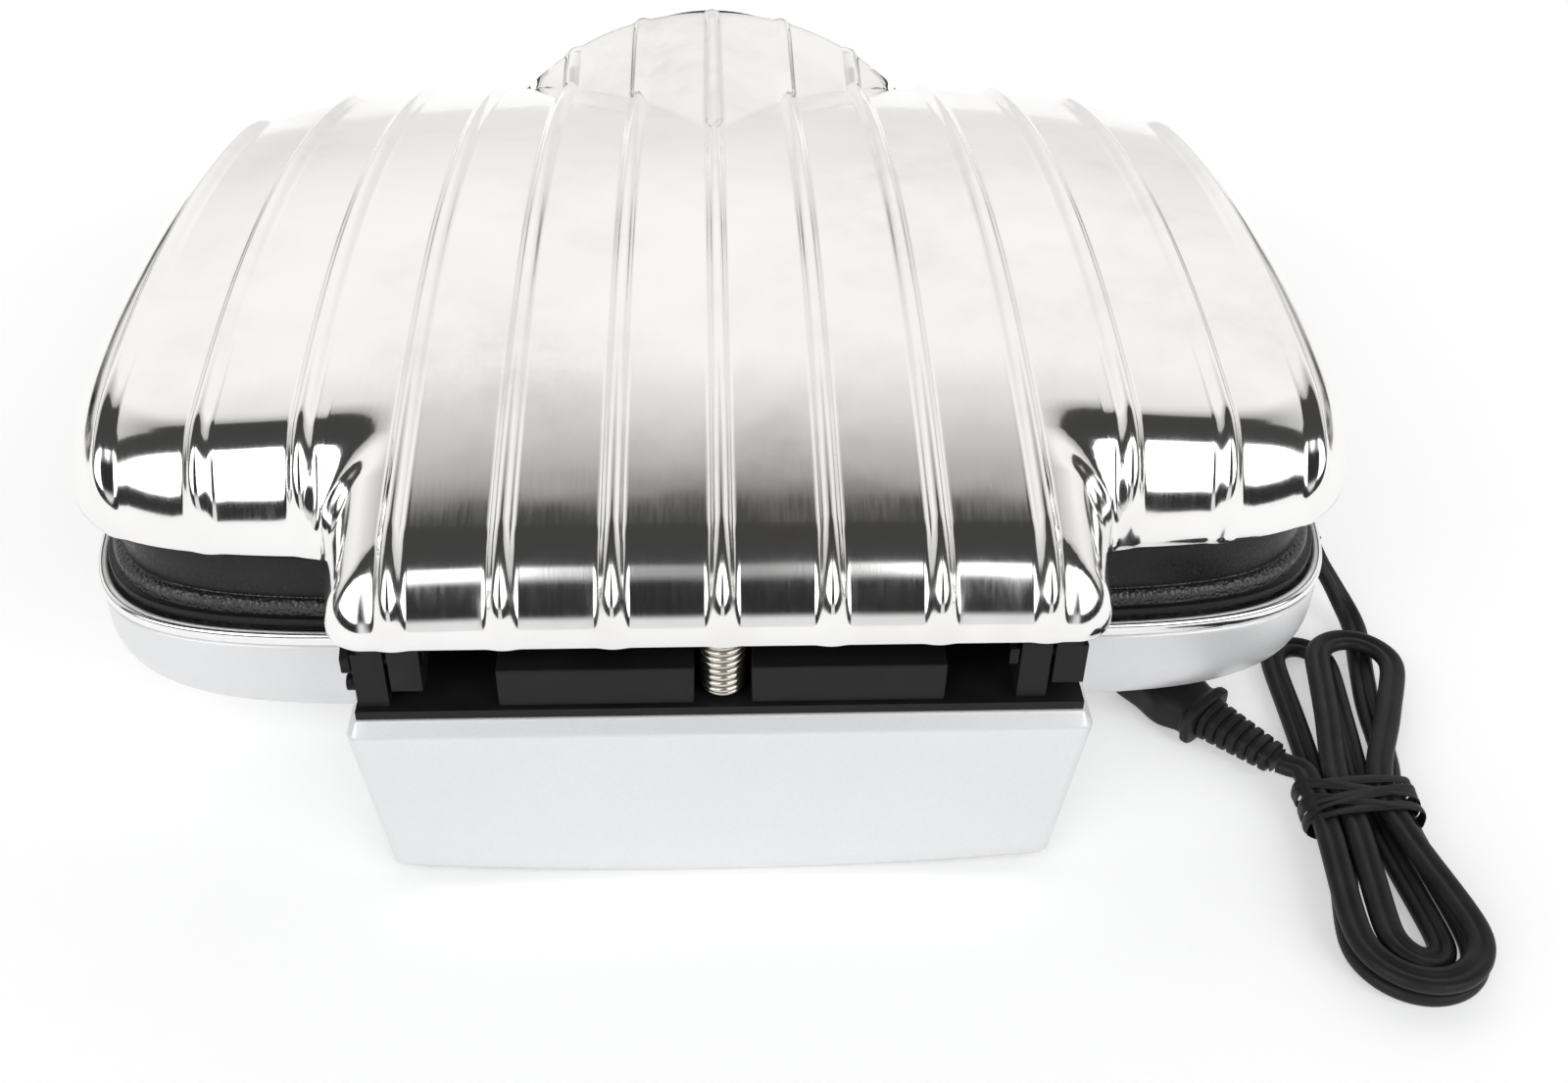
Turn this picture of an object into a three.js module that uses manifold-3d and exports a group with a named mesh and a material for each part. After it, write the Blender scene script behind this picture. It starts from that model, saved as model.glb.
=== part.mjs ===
// Contact grill with a ribbed cast lid on a floating hinge, and its flat mains cord in a tied hank.
// Millimetres, +Z up, the table at z = 0, the hinge towards +Y and the handle towards -Y.
import * as THREE from "three";
import { mergeVertices } from "three/addons/utils/BufferGeometryUtils.js";
import Module from "manifold-3d";

const wasm = await Module();
wasm.setup();

// Plan outline that lid, base and plates share
const overallDepth = 329;
const halfWidth = 182.5;
const frontReach = 148;
const hingeReach = 39.5;
const rearReach = overallDepth - frontReach - hingeReach;
const frontPower = 3.5;
const rearPower = 7;
const rearFace = overallDepth / 2;
const widestY = frontReach - rearFace;
const shoulderRear = widestY + rearReach;

// Heights
const boxRimZ = 53;
const deckZ = 57.3;
const trayBottomZ = 15;
const trayRimZ = 54;
const lidRimZ = 81;
const domeTopZ = 126.4;

// Walls, clearances and overruns
const wall = 2.2;
const gap = 0.3;
const overrun = 6;
const insideGap = 0.5;

// Rear box
const boxHalfTop = 96.3;
const boxTaper = 6.6;
const boxHalfBottom = boxHalfTop - boxTaper;
const boxCornerZ = 6;
const boxMiddleZ = 1.5;
const boxLedge = 2.8;
const boxFrontY = shoulderRear - wall;
const boxInnerFront = shoulderRear + wall;
const boxInnerRear = rearFace - wall - boxLedge / 2;
const deckThickness = 2.6;
const deckTopZ = deckZ + gap + deckThickness;
const bowlRadius = 24;
const grooveZ = 51.6;
const grooveHalf = 0.45;
const grooveDepth = 0.8;
const passageInset = 29.7;
const passageHalf = boxHalfBottom - passageInset;
const passageBottomZ = 24;
const passageTopZ = 46;
const bossHalf = 4;
const bossInset = 15.7;
const bossX = boxHalfBottom - bossInset;
const bossDepth = 9;
const bossTopZ = 20;

// Hinge cover tongue
const tongueOverhang = 1;
const tongueHalf = boxHalfTop + tongueOverhang;
const tongueSetback = 2;
const tongueRear = rearFace - tongueSetback;
const tongueLength = tongueRear - shoulderRear;
const tongueFlare = 5.8;
const flareRun = 60;
const tongueCorner = 9;
const notchBlend = 8;

// Lid dome, bill and ribs
const peakY = 9.5;
const coverTopZ = 98.8;
const domeRadius = (tongueRear - peakY) ** 2 / (2 * (domeTopZ - coverTopZ));
const frontTopZ = 93.2;
const frontRadius = (rearFace + peakY) ** 2 / (2 * (domeTopZ - frontTopZ));
const flankTopZ = 113.6;
const crownDrop = domeTopZ - flankTopZ;
const crownPower = 3.6;
const edgeRadius = 19;
const lipHeight = 2.5;
const lidBaseZ = lidRimZ + lipHeight;
const billDrop = 1.4;
const billZ = domeTopZ - billDrop;
const billFootZ = 93.9;
const billRise = billZ - billFootZ;
const billHalf = 74;
const billRadius = (billHalf ** 2 + billRise ** 2) / (2 * billRise);
const billSetback = 5;
const billStep = 0.5;
const billLength = 119.5;
const creaseY = -rearFace + billLength;
const creaseRun = billLength - billSetback - billStep;
const creasePower = 0.7;
const ribPitch = 27;
const ribsPerSide = Math.floor((halfWidth - edgeRadius) / ribPitch);
const ribHeight = 2.8;
const ribFootHalf = 3.4;
const ribCrestHalf = 1.5;
const tongueRib = Math.floor((tongueHalf - ribFootHalf) / ribPitch);
const ribRearShare = 0.15;
const ribFrontShare = 0.15;
const ribShares = [-1, -ribCrestHalf / ribFootHalf, ribCrestHalf / ribFootHalf, 1];
const footShares = [-1, 1];

// Rows and columns of the lid's surface
const lipRows = 1.4;
const frontRows = [9, 16, 23];
const rearRows = [16, 10, 5, 1.6, 0];
const billShares = [0.3, 0.65, 1];
const bodyShares = [0.16, 0.33, 0.5, 0.67, 0.84];
const tongueShares = [0.4, 0.68, 0.84, 0.94, 0.985, 1];
const tongueSideShares = [0.99, 1, 1.003];
const edgeShares = [0.9985, 0.992, 0.98, 0.962, 0.94, 0.91];

// Rows and columns of the outline and the tray
const outlineShares = [
  -0.998, -0.985, -0.955, -0.9, -0.82, -0.7, -0.52, -0.26, 0, 0.26, 0.52, 0.7, 0.82, 0.9, 0.955, 0.985, 0.998,
];
const trayShares = [0, 0.006, 0.025, 0.06, 0.12, 0.25, 0.5, 0.75, 0.88, 0.94, 0.975, 0.994, 1];
const centreShare = 0.3;

// Hinge
const pinSetback = 9;
const pinY = rearFace - pinSetback;
const pinZ = 74;
const pinRadius = 2.5;
const pinClearance = 0.35;
const headRadius = 4.6;
const headThickness = 2.6;
const floatTravel = 10;
const towerReach = 4.3;
const towerRear = pinY + towerReach;
const towerLength = 26;
const towerTopZ = 92;
const towerThickness = 7.9;
const towerInset = 3.9;
const towerOuter = boxHalfTop - towerInset;
const trimDepth = 3;
const armThickness = 8.1;
const armRadius = 9.5;
const armTopZ = 97;
const armFront = 9;
const sideClearance = 0.9;
const barBottomZ = 80.3;
const barHeight = 9;
const barDepth = 15;
const blockInner = 7.3;
const blockInset = 39.3;
const blockOuter = boxHalfTop - blockInset;
const blockTopZ = 72.5;
const blockReach = 4.9;
const blockRear = pinY + blockReach;
const blockLength = 28;
const blockWall = 2.4;

// Plates, elements and reflectors
const flangeInset = 3;
const flangeThickness = 2.8;
const skirtInset = 7;
const beadInset = 4.6;
const beadTopZ = 61.5;
const plateWall = 3;
const lowerDeckZ = 76;
const deckPlate = 3;
const ridgeHeight = 3;
const ridgePitch = 20;
const ridgeHalf = 2.6;
const ridgeMargin = 60;
const ridgesPerSide = Math.floor((halfWidth - ridgeMargin) / ridgePitch);
const ridgeRearInset = 35;
const ridgeFrontInset = 46.5;
const ridgeRearY = shoulderRear - ridgeRearInset;
const ridgeFrontY = -rearFace + ridgeFrontInset;
const plateParting = 0.9;
const elementRadius = 3.3;
const elementSideInset = 68.5;
const elementFrontInset = 72.5;
const elementRearInset = 57;
const elementTailInset = 31;
const elementHalfWidth = halfWidth - elementSideInset;
const elementFrontY = -rearFace + elementFrontInset;
const elementRearY = shoulderRear - elementRearInset;
const elementTailX = 26;
const elementTailY = shoulderRear - elementTailInset;
const elementCorner = 26;
const elementBend = 0.3;
const reflectorInset = 52;
const sheet = 1;
const reflectorLip = 4;
const reflectorPostX = 62;
const postRadius = 4.5;
const postSideInset = 44.5;
const postFrontInset = 86.5;
const postRearInset = 61;
const postX = halfWidth - postSideInset;
const postFrontY = -rearFace + postFrontInset;
const postRearY = shoulderRear - postRearInset;
const thermostatRadius = 9;
const thermostatHeight = 6;
const terminalHalf = 20;
const terminalDepth = 14;
const terminalHeight = 12;
const terminalShare = 0.625;
const screwRadius = 1.9;
const screwHeadRadius = 3.8;
const screwHeadHeight = 2;

// Feet and bottom cover
const frontFootRadius = 9;
const frontFootSideInset = 68.5;
const frontFootInset = 80.5;
const frontFootX = halfWidth - frontFootSideInset;
const frontFootY = -rearFace + frontFootInset;
const rearFootRadius = 8;
const rearFootSideInset = 31.7;
const rearFootInset = 21.5;
const rearFootX = boxHalfBottom - rearFootSideInset;
const rearFootY = rearFace - rearFootInset;
const coverSheet = 2;
const coverZ = 7;
const coverInset = 5.7;
const coverHalf = boxHalfBottom - coverInset;
const coverHeadZ = coverZ - gap - screwHeadHeight;
const coverFrontY = boxInnerFront + insideGap;
const coverRearY = boxInnerRear - insideGap;
const coverScrewY = boxInnerRear - bossDepth / 2;

// Wire guard spring
const springSetback = 2;
const springY = pinY - springSetback;
const springRadius = 4.2;
const springWire = 0.75;
const springCurls = 11;
const springPitch = 1.98;
const leadRadius = 2.4;
const leadBottomZ = 40;
const leadTopZ = 83;

// Handle insert in the bill
const pocketFloorShare = 0.3253;
const pocketFloorZ = lidBaseZ + pocketFloorShare * (billZ - lidBaseZ);
const pocketInset = 18;
const pocketHalf = billHalf - pocketInset;
const pocketDepth = 34;
const archSteps = 10;
const insertWall = 2.5;
const mouthSlack = 1;

// Cord
const cordWidth = 7.7;
const cordThickness = 4.2;
const glandY = 37;
const glandZ = 31;
const glandRadius = 6;
const glandFlangeRadius = 8.5;
const hankX = -182;
const waistY = 149;
const runPitch = 8.4;
const layerStep = 4.9;
const tieWall = 0.8;
const lowerLayerZ = tieWall + gap + cordThickness / 2;
const lowerBendY = 196;
const longBendY = 85;
const roundBendY = 91;
const roundLean = 17;
const longLean = 2;
const bendWiden = 5.4;
const longNarrow = 3.4;
const tieHalfLength = 8;
const leadJoin = 17;
const tailJoin = 10.5;
const leadFlare = 2;
const bendSteps = 8;
const hankTurns = 3;
const climbTurns = 0.3;

// Plug
const plugTip = new THREE.Vector2(-127.4, 90.5);
const plugAngle = 2.286;
const plugBodyLength = 30;
const plugBodyHalfWidth = 10.5;
const plugBodyThickness = 13;
const plugNoseHalfWidth = 8;
const reliefLength = 24;
const reliefWide = 6.2;
const reliefNarrow = 4.3;
const reliefRibs = 7;
const reliefRibHeight = 0.9;
const bladeLength = 17;
const bladeHeight = 6.3;
const bladeThickness = 1.5;
const bladeSpacing = 12.7;
const plugZ = 7.2;

const bladeSeat = 5;

// Levels that follow from the ones above
const lowerBackZ = lowerDeckZ - deckPlate;
const upperTipZ = lowerDeckZ + ridgeHeight + plateParting;
const upperFaceZ = upperTipZ + ridgeHeight;
const upperBackZ = upperFaceZ + deckPlate;
const lowerElementZ = lowerBackZ - gap - elementRadius;
const upperElementZ = upperBackZ + gap + elementRadius;
const lowerReflectorZ = lowerElementZ - elementRadius - gap - sheet;
const upperReflectorZ = upperElementZ + elementRadius + gap;
const up = new THREE.Vector3(0, 0, 1);

// Colours
const finishes = {
  castAluminium: { color: 0xd6d6d4, roughness: 0.16, metalness: 1 },
  silverPaint: { color: 0xd3d5d9, roughness: 0.42, metalness: 0.35 },
  blackPlastic: { color: 0x17171a, roughness: 0.5, metalness: 0 },
  nonStick: { color: 0x121213, roughness: 0.42, metalness: 0.1 },
  steel: { color: 0xb4b6b8, roughness: 0.3, metalness: 1 },
  rubber: { color: 0x1b1b1c, roughness: 0.8, metalness: 0 },
  ceramic: { color: 0xd9d4c8, roughness: 0.6, metalness: 0 },
  sleeve: { color: 0x6e6c69, roughness: 0.7, metalness: 0 },
  tie: { color: 0x1d1c1e, roughness: 0.6, metalness: 0 },
  cordVinyl: { color: 0x161617, roughness: 0.42, metalness: 0 },
};

// Solids from geometries and back
function solidOf(geometry) {
  const bare = geometry.index ? geometry.toNonIndexed() : geometry.clone();
  bare.deleteAttribute("normal");
  bare.deleteAttribute("uv");
  const merged = mergeVertices(bare, 1e-4);
  return new wasm.Manifold(
    new wasm.Mesh({
      numProp: 3,
      vertProperties: merged.attributes.position.array,
      triVerts: new Uint32Array(merged.index.array),
    }),
  );
}

function geometryOf(solid) {
  const mesh = solid.getMesh();
  const geometry = new THREE.BufferGeometry();
  geometry.setAttribute("position", new THREE.BufferAttribute(mesh.vertProperties, 3));
  geometry.setIndex(new THREE.BufferAttribute(mesh.triVerts, 1));
  geometry.computeVertexNormals();
  return geometry;
}

function block(x0, x1, y0, y1, z0, z1) {
  const geometry = new THREE.BoxGeometry(x1 - x0, y1 - y0, z1 - z0);
  geometry.translate((x0 + x1) / 2, (y0 + y1) / 2, (z0 + z1) / 2);
  return solidOf(geometry);
}

function shapeOf(points) {
  return new THREE.Shape(points.map(([a, b]) => new THREE.Vector2(a, b)));
}

// A plan shape (x, y) raised from z0 to z1
function prism(shape, z0, z1, curveSegments = 8) {
  const options = { depth: z1 - z0, bevelEnabled: false, curveSegments };
  const geometry = new THREE.ExtrudeGeometry(shape, options);
  geometry.translate(0, 0, z0);
  return solidOf(geometry);
}

// A side shape (y, z) that runs from x0 to x1
function prismAlongX(shape, x0, x1, curveSegments = 8) {
  const options = { depth: x1 - x0, bevelEnabled: false, curveSegments };
  const geometry = new THREE.ExtrudeGeometry(shape, options);
  geometry.applyMatrix4(new THREE.Matrix4().set(0, 0, 1, x0, 1, 0, 0, 0, 0, 1, 0, 0, 0, 0, 0, 1));
  return solidOf(geometry);
}

// A front shape (x, z) that runs from y0 to y1
function prismAlongY(shape, y0, y1, curveSegments = 8) {
  const options = { depth: y1 - y0, bevelEnabled: false, curveSegments };
  const geometry = new THREE.ExtrudeGeometry(shape, options);
  geometry.applyMatrix4(new THREE.Matrix4().set(1, 0, 0, 0, 0, 0, -1, y1, 0, 1, 0, 0, 0, 0, 0, 1));
  return solidOf(geometry);
}

function rod(radius, from, to, sides = 16, endRadius = radius) {
  const axis = new THREE.Vector3().subVectors(to, from);
  const geometry = new THREE.CylinderGeometry(endRadius, radius, axis.length(), sides);
  geometry.translate(0, axis.length() / 2, 0);
  const turn = new THREE.Quaternion().setFromUnitVectors(
    new THREE.Vector3(0, 1, 0),
    axis.clone().normalize(),
  );
  geometry.applyQuaternion(turn);
  geometry.translate(from.x, from.y, from.z);
  return solidOf(geometry);
}

function rodAlongX(radius, x0, x1, y, z, sides = 16) {
  return rod(radius, new THREE.Vector3(x0, y, z), new THREE.Vector3(x1, y, z), sides);
}

function rodAlongZ(radius, x, y, z0, z1, sides = 16, endRadius = radius) {
  return rod(radius, new THREE.Vector3(x, y, z0), new THREE.Vector3(x, y, z1), sides, endRadius);
}

function joined(...solids) {
  return solids.reduce((all, one) => all.add(one));
}

// A round tube along a curve
function tube(points, radius, sides, steps) {
  const section = new THREE.Shape();
  for (let i = 0; i < sides; i++) {
    const angle = (2 * Math.PI * i) / sides;
    const place = [radius * Math.cos(angle), radius * Math.sin(angle)];
    if (i) section.lineTo(...place);
    else section.moveTo(...place);
  }
  const path = new THREE.CatmullRomCurve3(points, false, "centripetal");
  return new THREE.ExtrudeGeometry(section, { steps, extrudePath: path });
}

// A closed tube whose rings are given: each ring is a list of points in the same order
function ringTube(rings) {
  const sides = rings[0].length;
  const positions = rings.flat().flatMap((p) => [p.x, p.y, p.z]);
  const index = [];
  for (let i = 0; i + 1 < rings.length; i++)
    for (let k = 0; k < sides; k++) {
      const a = i * sides + k;
      const b = i * sides + ((k + 1) % sides);
      index.push(a, b + sides, b, a, a + sides, b + sides);
    }
  const last = (rings.length - 1) * sides;
  for (let k = 1; k + 1 < sides; k++) {
    index.push(0, k, k + 1);
    index.push(last, last + k + 1, last + k);
  }
  const geometry = new THREE.BufferGeometry();
  geometry.setAttribute("position", new THREE.Float32BufferAttribute(positions, 3));
  geometry.setIndex(index);
  geometry.computeVertexNormals();
  return geometry;
}

// The shared outline
function reachesOf(inset, swell = 0) {
  return {
    half: halfWidth - inset,
    front: frontReach - inset - swell * ribFrontShare,
    rear: rearReach - inset + swell * ribRearShare,
  };
}

function outlineY(x, inset, swell, rear) {
  const reach = reachesOf(inset, swell);
  const power = rear ? rearPower : frontPower;
  const share = Math.min(1, Math.abs(x) / reach.half);
  const away = (1 - share ** power) ** (1 / power);
  return rear ? widestY + reach.rear * away : widestY - reach.front * away;
}

// How far inside the outline a point lies
function outlineDepth(x, y, inset, swell) {
  const reach = reachesOf(inset, swell);
  const long = y > widestY ? reach.rear : reach.front;
  const power = y > widestY ? rearPower : frontPower;
  const a = Math.abs(x) / reach.half;
  const b = Math.abs(y - widestY) / long;
  const level = (a ** power + b ** power) ** (1 / power);
  if (level < centreShare) return reach.rear;
  const slope = Math.hypot(a ** (power - 1) / reach.half, b ** (power - 1) / long);
  return (1 - level) / (slope * level ** (1 - power));
}

function outlineShape(inset) {
  const xs = outlineShares.map((share) => share * (halfWidth - inset));
  const rear = xs.map((x) => [x, outlineY(x, inset, 0, true)]);
  const front = xs.map((x) => [x, outlineY(x, inset, 0, false)]);
  return shapeOf([...front, ...rear.reverse()]);
}

// A closed body between a sheet, given as columns of points from front to rear, and a flat face
function sheetBody(columns, flatZ) {
  const starts = [];
  const positions = [];
  columns.forEach((column) => {
    starts.push(positions.length / 3);
    column.forEach((p) => positions.push(...p));
  });
  const last = columns.length - 1;
  const triangles = [];
  const loop = starts.slice();
  for (let i = 0; i < last; i++) {
    const rows = Math.min(columns[i].length, columns[i + 1].length);
    for (let j = 0; j + 1 < rows; j++) {
      const a = starts[i] + j;
      const b = starts[i + 1] + j;
      triangles.push([a, b, b + 1], [a, b + 1, a + 1]);
    }
  }
  for (let j = 1; j < columns[last].length; j++) loop.push(starts[last] + j);
  for (let i = last; i > 0; i--) {
    const here = columns[i].length;
    const next = columns[i - 1].length;
    for (let j = here - 2; j >= next - 1; j--) loop.push(starts[i] + j);
    for (let j = Math.min(here, next) - 1; j < next; j++) loop.push(starts[i - 1] + j);
  }
  for (let j = columns[0].length - 2; j > 0; j--) loop.push(starts[0] + j);
  const flat = positions.length / 3;
  const plan = loop.map((v) => new THREE.Vector2(positions[3 * v], positions[3 * v + 1]));
  plan.forEach((p) => positions.push(p.x, p.y, flatZ));
  loop.forEach((v, k) => {
    const n = (k + 1) % loop.length;
    triangles.push([loop[n], v, flat + k], [loop[n], flat + k, flat + n]);
  });
  THREE.ShapeUtils.triangulateShape(plan, []).forEach(([a, b, c]) =>
    triangles.push([flat + a, flat + c, flat + b]),
  );
  const sheetIsAbove = columns[0][0][2] > flatZ;
  const geometry = new THREE.BufferGeometry();
  geometry.setAttribute("position", new THREE.Float32BufferAttribute(positions, 3));
  geometry.setIndex(triangles.flatMap(([a, b, c]) => (sheetIsAbove ? [a, b, c] : [a, c, b])));
  return solidOf(geometry);
}

function rounded(depth, radius) {
  const share = Math.min(1, Math.max(0, depth / radius));
  return Math.sqrt(1 - (1 - share) ** 2);
}

// Lid surface
function domeZ(x, y) {
  const crown = crownDrop * (Math.abs(x) / halfWidth) ** crownPower;
  const radius = y > peakY ? domeRadius : frontRadius;
  return domeTopZ - (y - peakY) ** 2 / (2 * radius) - crown;
}

function billEdgeZ(x) {
  return billZ - billRadius + Math.sqrt(billRadius ** 2 - x ** 2);
}

function billCrease(x) {
  return creaseY - creaseRun * (Math.abs(x) / billHalf) ** creasePower;
}

// The bill runs straight from its crease on the dome to its raised front edge
function billSurfaceZ(x, y, edge) {
  const crease = billCrease(x);
  const foot = domeZ(x, crease);
  return foot + ((billEdgeZ(x) - foot) * (crease - y)) / (crease - edge);
}

// The tongue widens towards its root, and the lid's columns beside it lean with it
function flareAt(y) {
  if (y > shoulderRear) return (tongueFlare * (tongueRear - y)) / tongueLength;
  return tongueFlare * Math.max(0, 1 - (shoulderRear - y) / flareRun);
}

function leaning(x, y) {
  const ribSide = tongueRib * ribPitch + ribFootHalf;
  const across = Math.abs(x);
  if (across < ribSide || across > tongueHalf + tongueCorner / 2) return x;
  const share = Math.min(1, (across - ribSide) / (tongueHalf - ribSide));
  return x + Math.sign(x) * share * flareAt(y);
}

function tongueDepth(x, y, inset, swell) {
  if (y < widestY) return -tongueHalf;
  const side = tongueHalf + flareAt(y) - inset - Math.abs(x);
  const end = tongueRear - inset + swell * ribRearShare - y;
  const corner = tongueCorner - inset;
  if (side > corner || end > corner) return Math.min(side, end);
  return corner - Math.hypot(corner - side, corner - end);
}

function lidDepth(x, y, inset, swell) {
  const a = outlineDepth(x, y, inset, swell);
  const b = tongueDepth(x, y, inset, swell);
  const blend = Math.max(notchBlend - Math.abs(a - b), 0) / notchBlend;
  return Math.max(a, b) + (blend ** 2 * notchBlend) / 4;
}

function lidZ(x, y, inset, swell) {
  const share = rounded(lidDepth(x, y, inset, swell), edgeRadius - inset);
  return lidBaseZ + (domeZ(x, y) - inset + swell - lidBaseZ) * share;
}

function tongueCut(x, inset) {
  const corner = tongueCorner - inset;
  const into = Math.max(0, Math.abs(x) - (tongueHalf - inset - corner));
  return corner - Math.sqrt(Math.max(0, corner ** 2 - into ** 2));
}

function lidColumn(x, inset, swell) {
  const front = outlineY(x, inset, swell, false);
  const rear = outlineY(x, inset, swell, true);
  const edge = front + billSetback;
  const crease = billCrease(x);
  const inBill = Math.abs(x) < billHalf && crease > edge + frontRows[0];
  const rows = [];
  const add = (y) => rows.push([leaning(x, y), y, lidZ(leaning(x, y), y, inset, swell)]);
  const addBill = (y) => {
    const onBill = billSurfaceZ(x, y, edge) - inset + swell;
    rows.push([x, y, Math.max(lidZ(x, y, inset, swell), onBill)]);
  };
  add(front);
  add(front + lipRows);
  add(edge - billStep);
  if (inBill) addBill(edge);
  else add(edge);
  frontRows.forEach((size, n) => {
    const forward = front + size;
    const onBill = edge + (crease - edge) * billShares[n];
    if (inBill && onBill > forward) addBill(onBill);
    else if (inBill && n < 2) addBill(forward);
    else add(forward);
  });
  const bodyFront = rows[rows.length - 1][1];
  const bodyRear = rear - rearRows[0];
  bodyShares.forEach((share) => add(bodyFront + (bodyRear - bodyFront) * share));
  rearRows.forEach((size) => add(rear - size));
  if (Math.abs(x) <= tongueHalf - inset) {
    const end = tongueRear - inset + swell * ribRearShare - tongueCut(x, inset);
    tongueShares.forEach((share) => add(rear + (end - rear) * share));
  }
  return rows;
}

function lidBody(inset, ribbed) {
  const edge = halfWidth - inset;
  const side = tongueHalf - inset;
  const xs = tongueSideShares.flatMap((share) => [side * share, -side * share]);
  edgeShares.forEach((share) => xs.push(edge * share, -edge * share));
  xs.push(side - tongueCorner / 2, tongueCorner / 2 - side);
  for (let k = -ribsPerSide; k <= ribsPerSide; k++)
    (ribbed ? ribShares : footShares).forEach((share) => xs.push(k * ribPitch + share * ribFootHalf));
  xs.sort((a, b) => a - b);
  const columns = xs.map((x) => {
    const off = Math.abs(x - ribPitch * Math.round(x / ribPitch));
    const inRibs = Math.abs(x) < (ribsPerSide + 0.5) * ribPitch;
    const onRib = ribbed && inRibs && off < (ribCrestHalf + ribFootHalf) / 2;
    return lidColumn(x, inset, onRib ? ribHeight : 0);
  });
  return sheetBody(columns, inset ? lidRimZ - overrun : lidRimZ);
}

const postSpots = [-postX, postX].flatMap((x) => [postFrontY, postRearY].map((y) => [x, y]));
const reflectorSpots = [-reflectorPostX, reflectorPostX].map((x) => [x, 0]);

function posts(spots, z0, z1) {
  return joined(...spots.map(([x, y]) => rodAlongZ(postRadius, x, y, z0, z1, 10)));
}

function archShape(inset) {
  const half = pocketHalf - inset;
  const floor = pocketFloorZ + inset;
  const points = [[half, floor]];
  for (let i = 0; i <= archSteps; i++) {
    const x = half - (2 * half * i) / archSteps;
    points.push([x, Math.max(floor + gap, billEdgeZ(x) - wall - inset)]);
  }
  points.push([-half, floor]);
  return shapeOf(points);
}

const lidHollow = lidBody(wall + gap, false);
const billInnerY = -rearFace + billSetback + wall + mouthSlack;

function screwBore(x, y, z) {
  return rodAlongZ(screwRadius + gap, x, y, z - 2 * overrun, z + 2 * overrun, 8);
}

function lidShell() {
  const outer = lidBody(0, true);
  const pocket = prismAlongY(archShape(-gap), -rearFace - overrun, billInnerY + insideGap);
  const inside = posts(postSpots, upperBackZ + gap, domeTopZ)
    .add(posts(reflectorSpots, upperReflectorZ + sheet + gap, domeTopZ))
    .intersect(outer);
  return outer
    .subtract(lidBody(wall, false))
    .add(inside)
    .subtract(pocket)
    .subtract(screwBore(postX, postRearY, upperBackZ))
    .subtract(screwBore(-postX, postRearY, upperBackZ));
}

function handleInsert() {
  const front = -rearFace + billSetback + gap;
  const rear = -rearFace + pocketDepth;
  const mouth = (top) =>
    block(-pocketHalf, pocketHalf, front - overrun, billInnerY + gap, pocketFloorZ, top);
  const body = prismAlongY(archShape(gap), front, rear);
  const recess = prismAlongY(archShape(gap + insertWall), front - overrun, rear - insertWall);
  const roof = lidHollow.add(mouth(billZ));
  return body.intersect(roof).subtract(recess.intersect(roof.translate([0, 0, -insertWall])));
}

// Base
function trayBody(inset, topZ) {
  const floor = trayBottomZ + inset;
  const side = trayBottomZ + bowlRadius;
  const columns = outlineShares.map((across) => {
    const x = across * (halfWidth - inset);
    const front = outlineY(x, inset, 0, false);
    const rear = outlineY(x, inset, 0, true);
    return trayShares.map((share) => {
      const y = front + (rear - front) * share;
      return [x, y, side - (side - floor) * rounded(outlineDepth(x, y, inset, 0), bowlRadius)];
    });
  });
  return sheetBody(columns, topZ);
}

function boxOuter() {
  const front = new THREE.Shape();
  front.moveTo(-boxHalfTop, boxRimZ);
  front.lineTo(-boxHalfBottom, boxCornerZ);
  front.quadraticCurveTo(0, 2 * boxMiddleZ - boxCornerZ, boxHalfBottom, boxCornerZ);
  front.lineTo(boxHalfTop, boxRimZ);
  front.lineTo(boxHalfTop - boxLedge, deckZ);
  front.lineTo(boxLedge - boxHalfTop, deckZ);
  const side = shapeOf([
    [boxFrontY, 0],
    [rearFace, 0],
    [rearFace, boxRimZ],
    [rearFace - boxLedge, deckZ],
    [shoulderRear + gap, deckZ],
    [shoulderRear + gap, trayRimZ],
    [boxFrontY, trayRimZ],
  ]);
  return prismAlongY(front, boxFrontY, rearFace).intersect(prismAlongX(side, -halfWidth, halfWidth));
}

function boxInside() {
  const lean = (boxHalfTop - boxHalfBottom) / (boxRimZ - boxCornerZ);
  const bottom = -overrun;
  const top = boxHalfTop - wall;
  const low = top - (boxRimZ - bottom) * lean;
  const lip = top - boxLedge / 2;
  const shape = shapeOf([
    [-low, bottom],
    [low, bottom],
    [top, boxRimZ],
    [lip, deckZ + overrun],
    [-lip, deckZ + overrun],
    [-top, boxRimZ],
  ]);
  return prismAlongY(shape, boxInnerFront, boxInnerRear);
}

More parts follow.
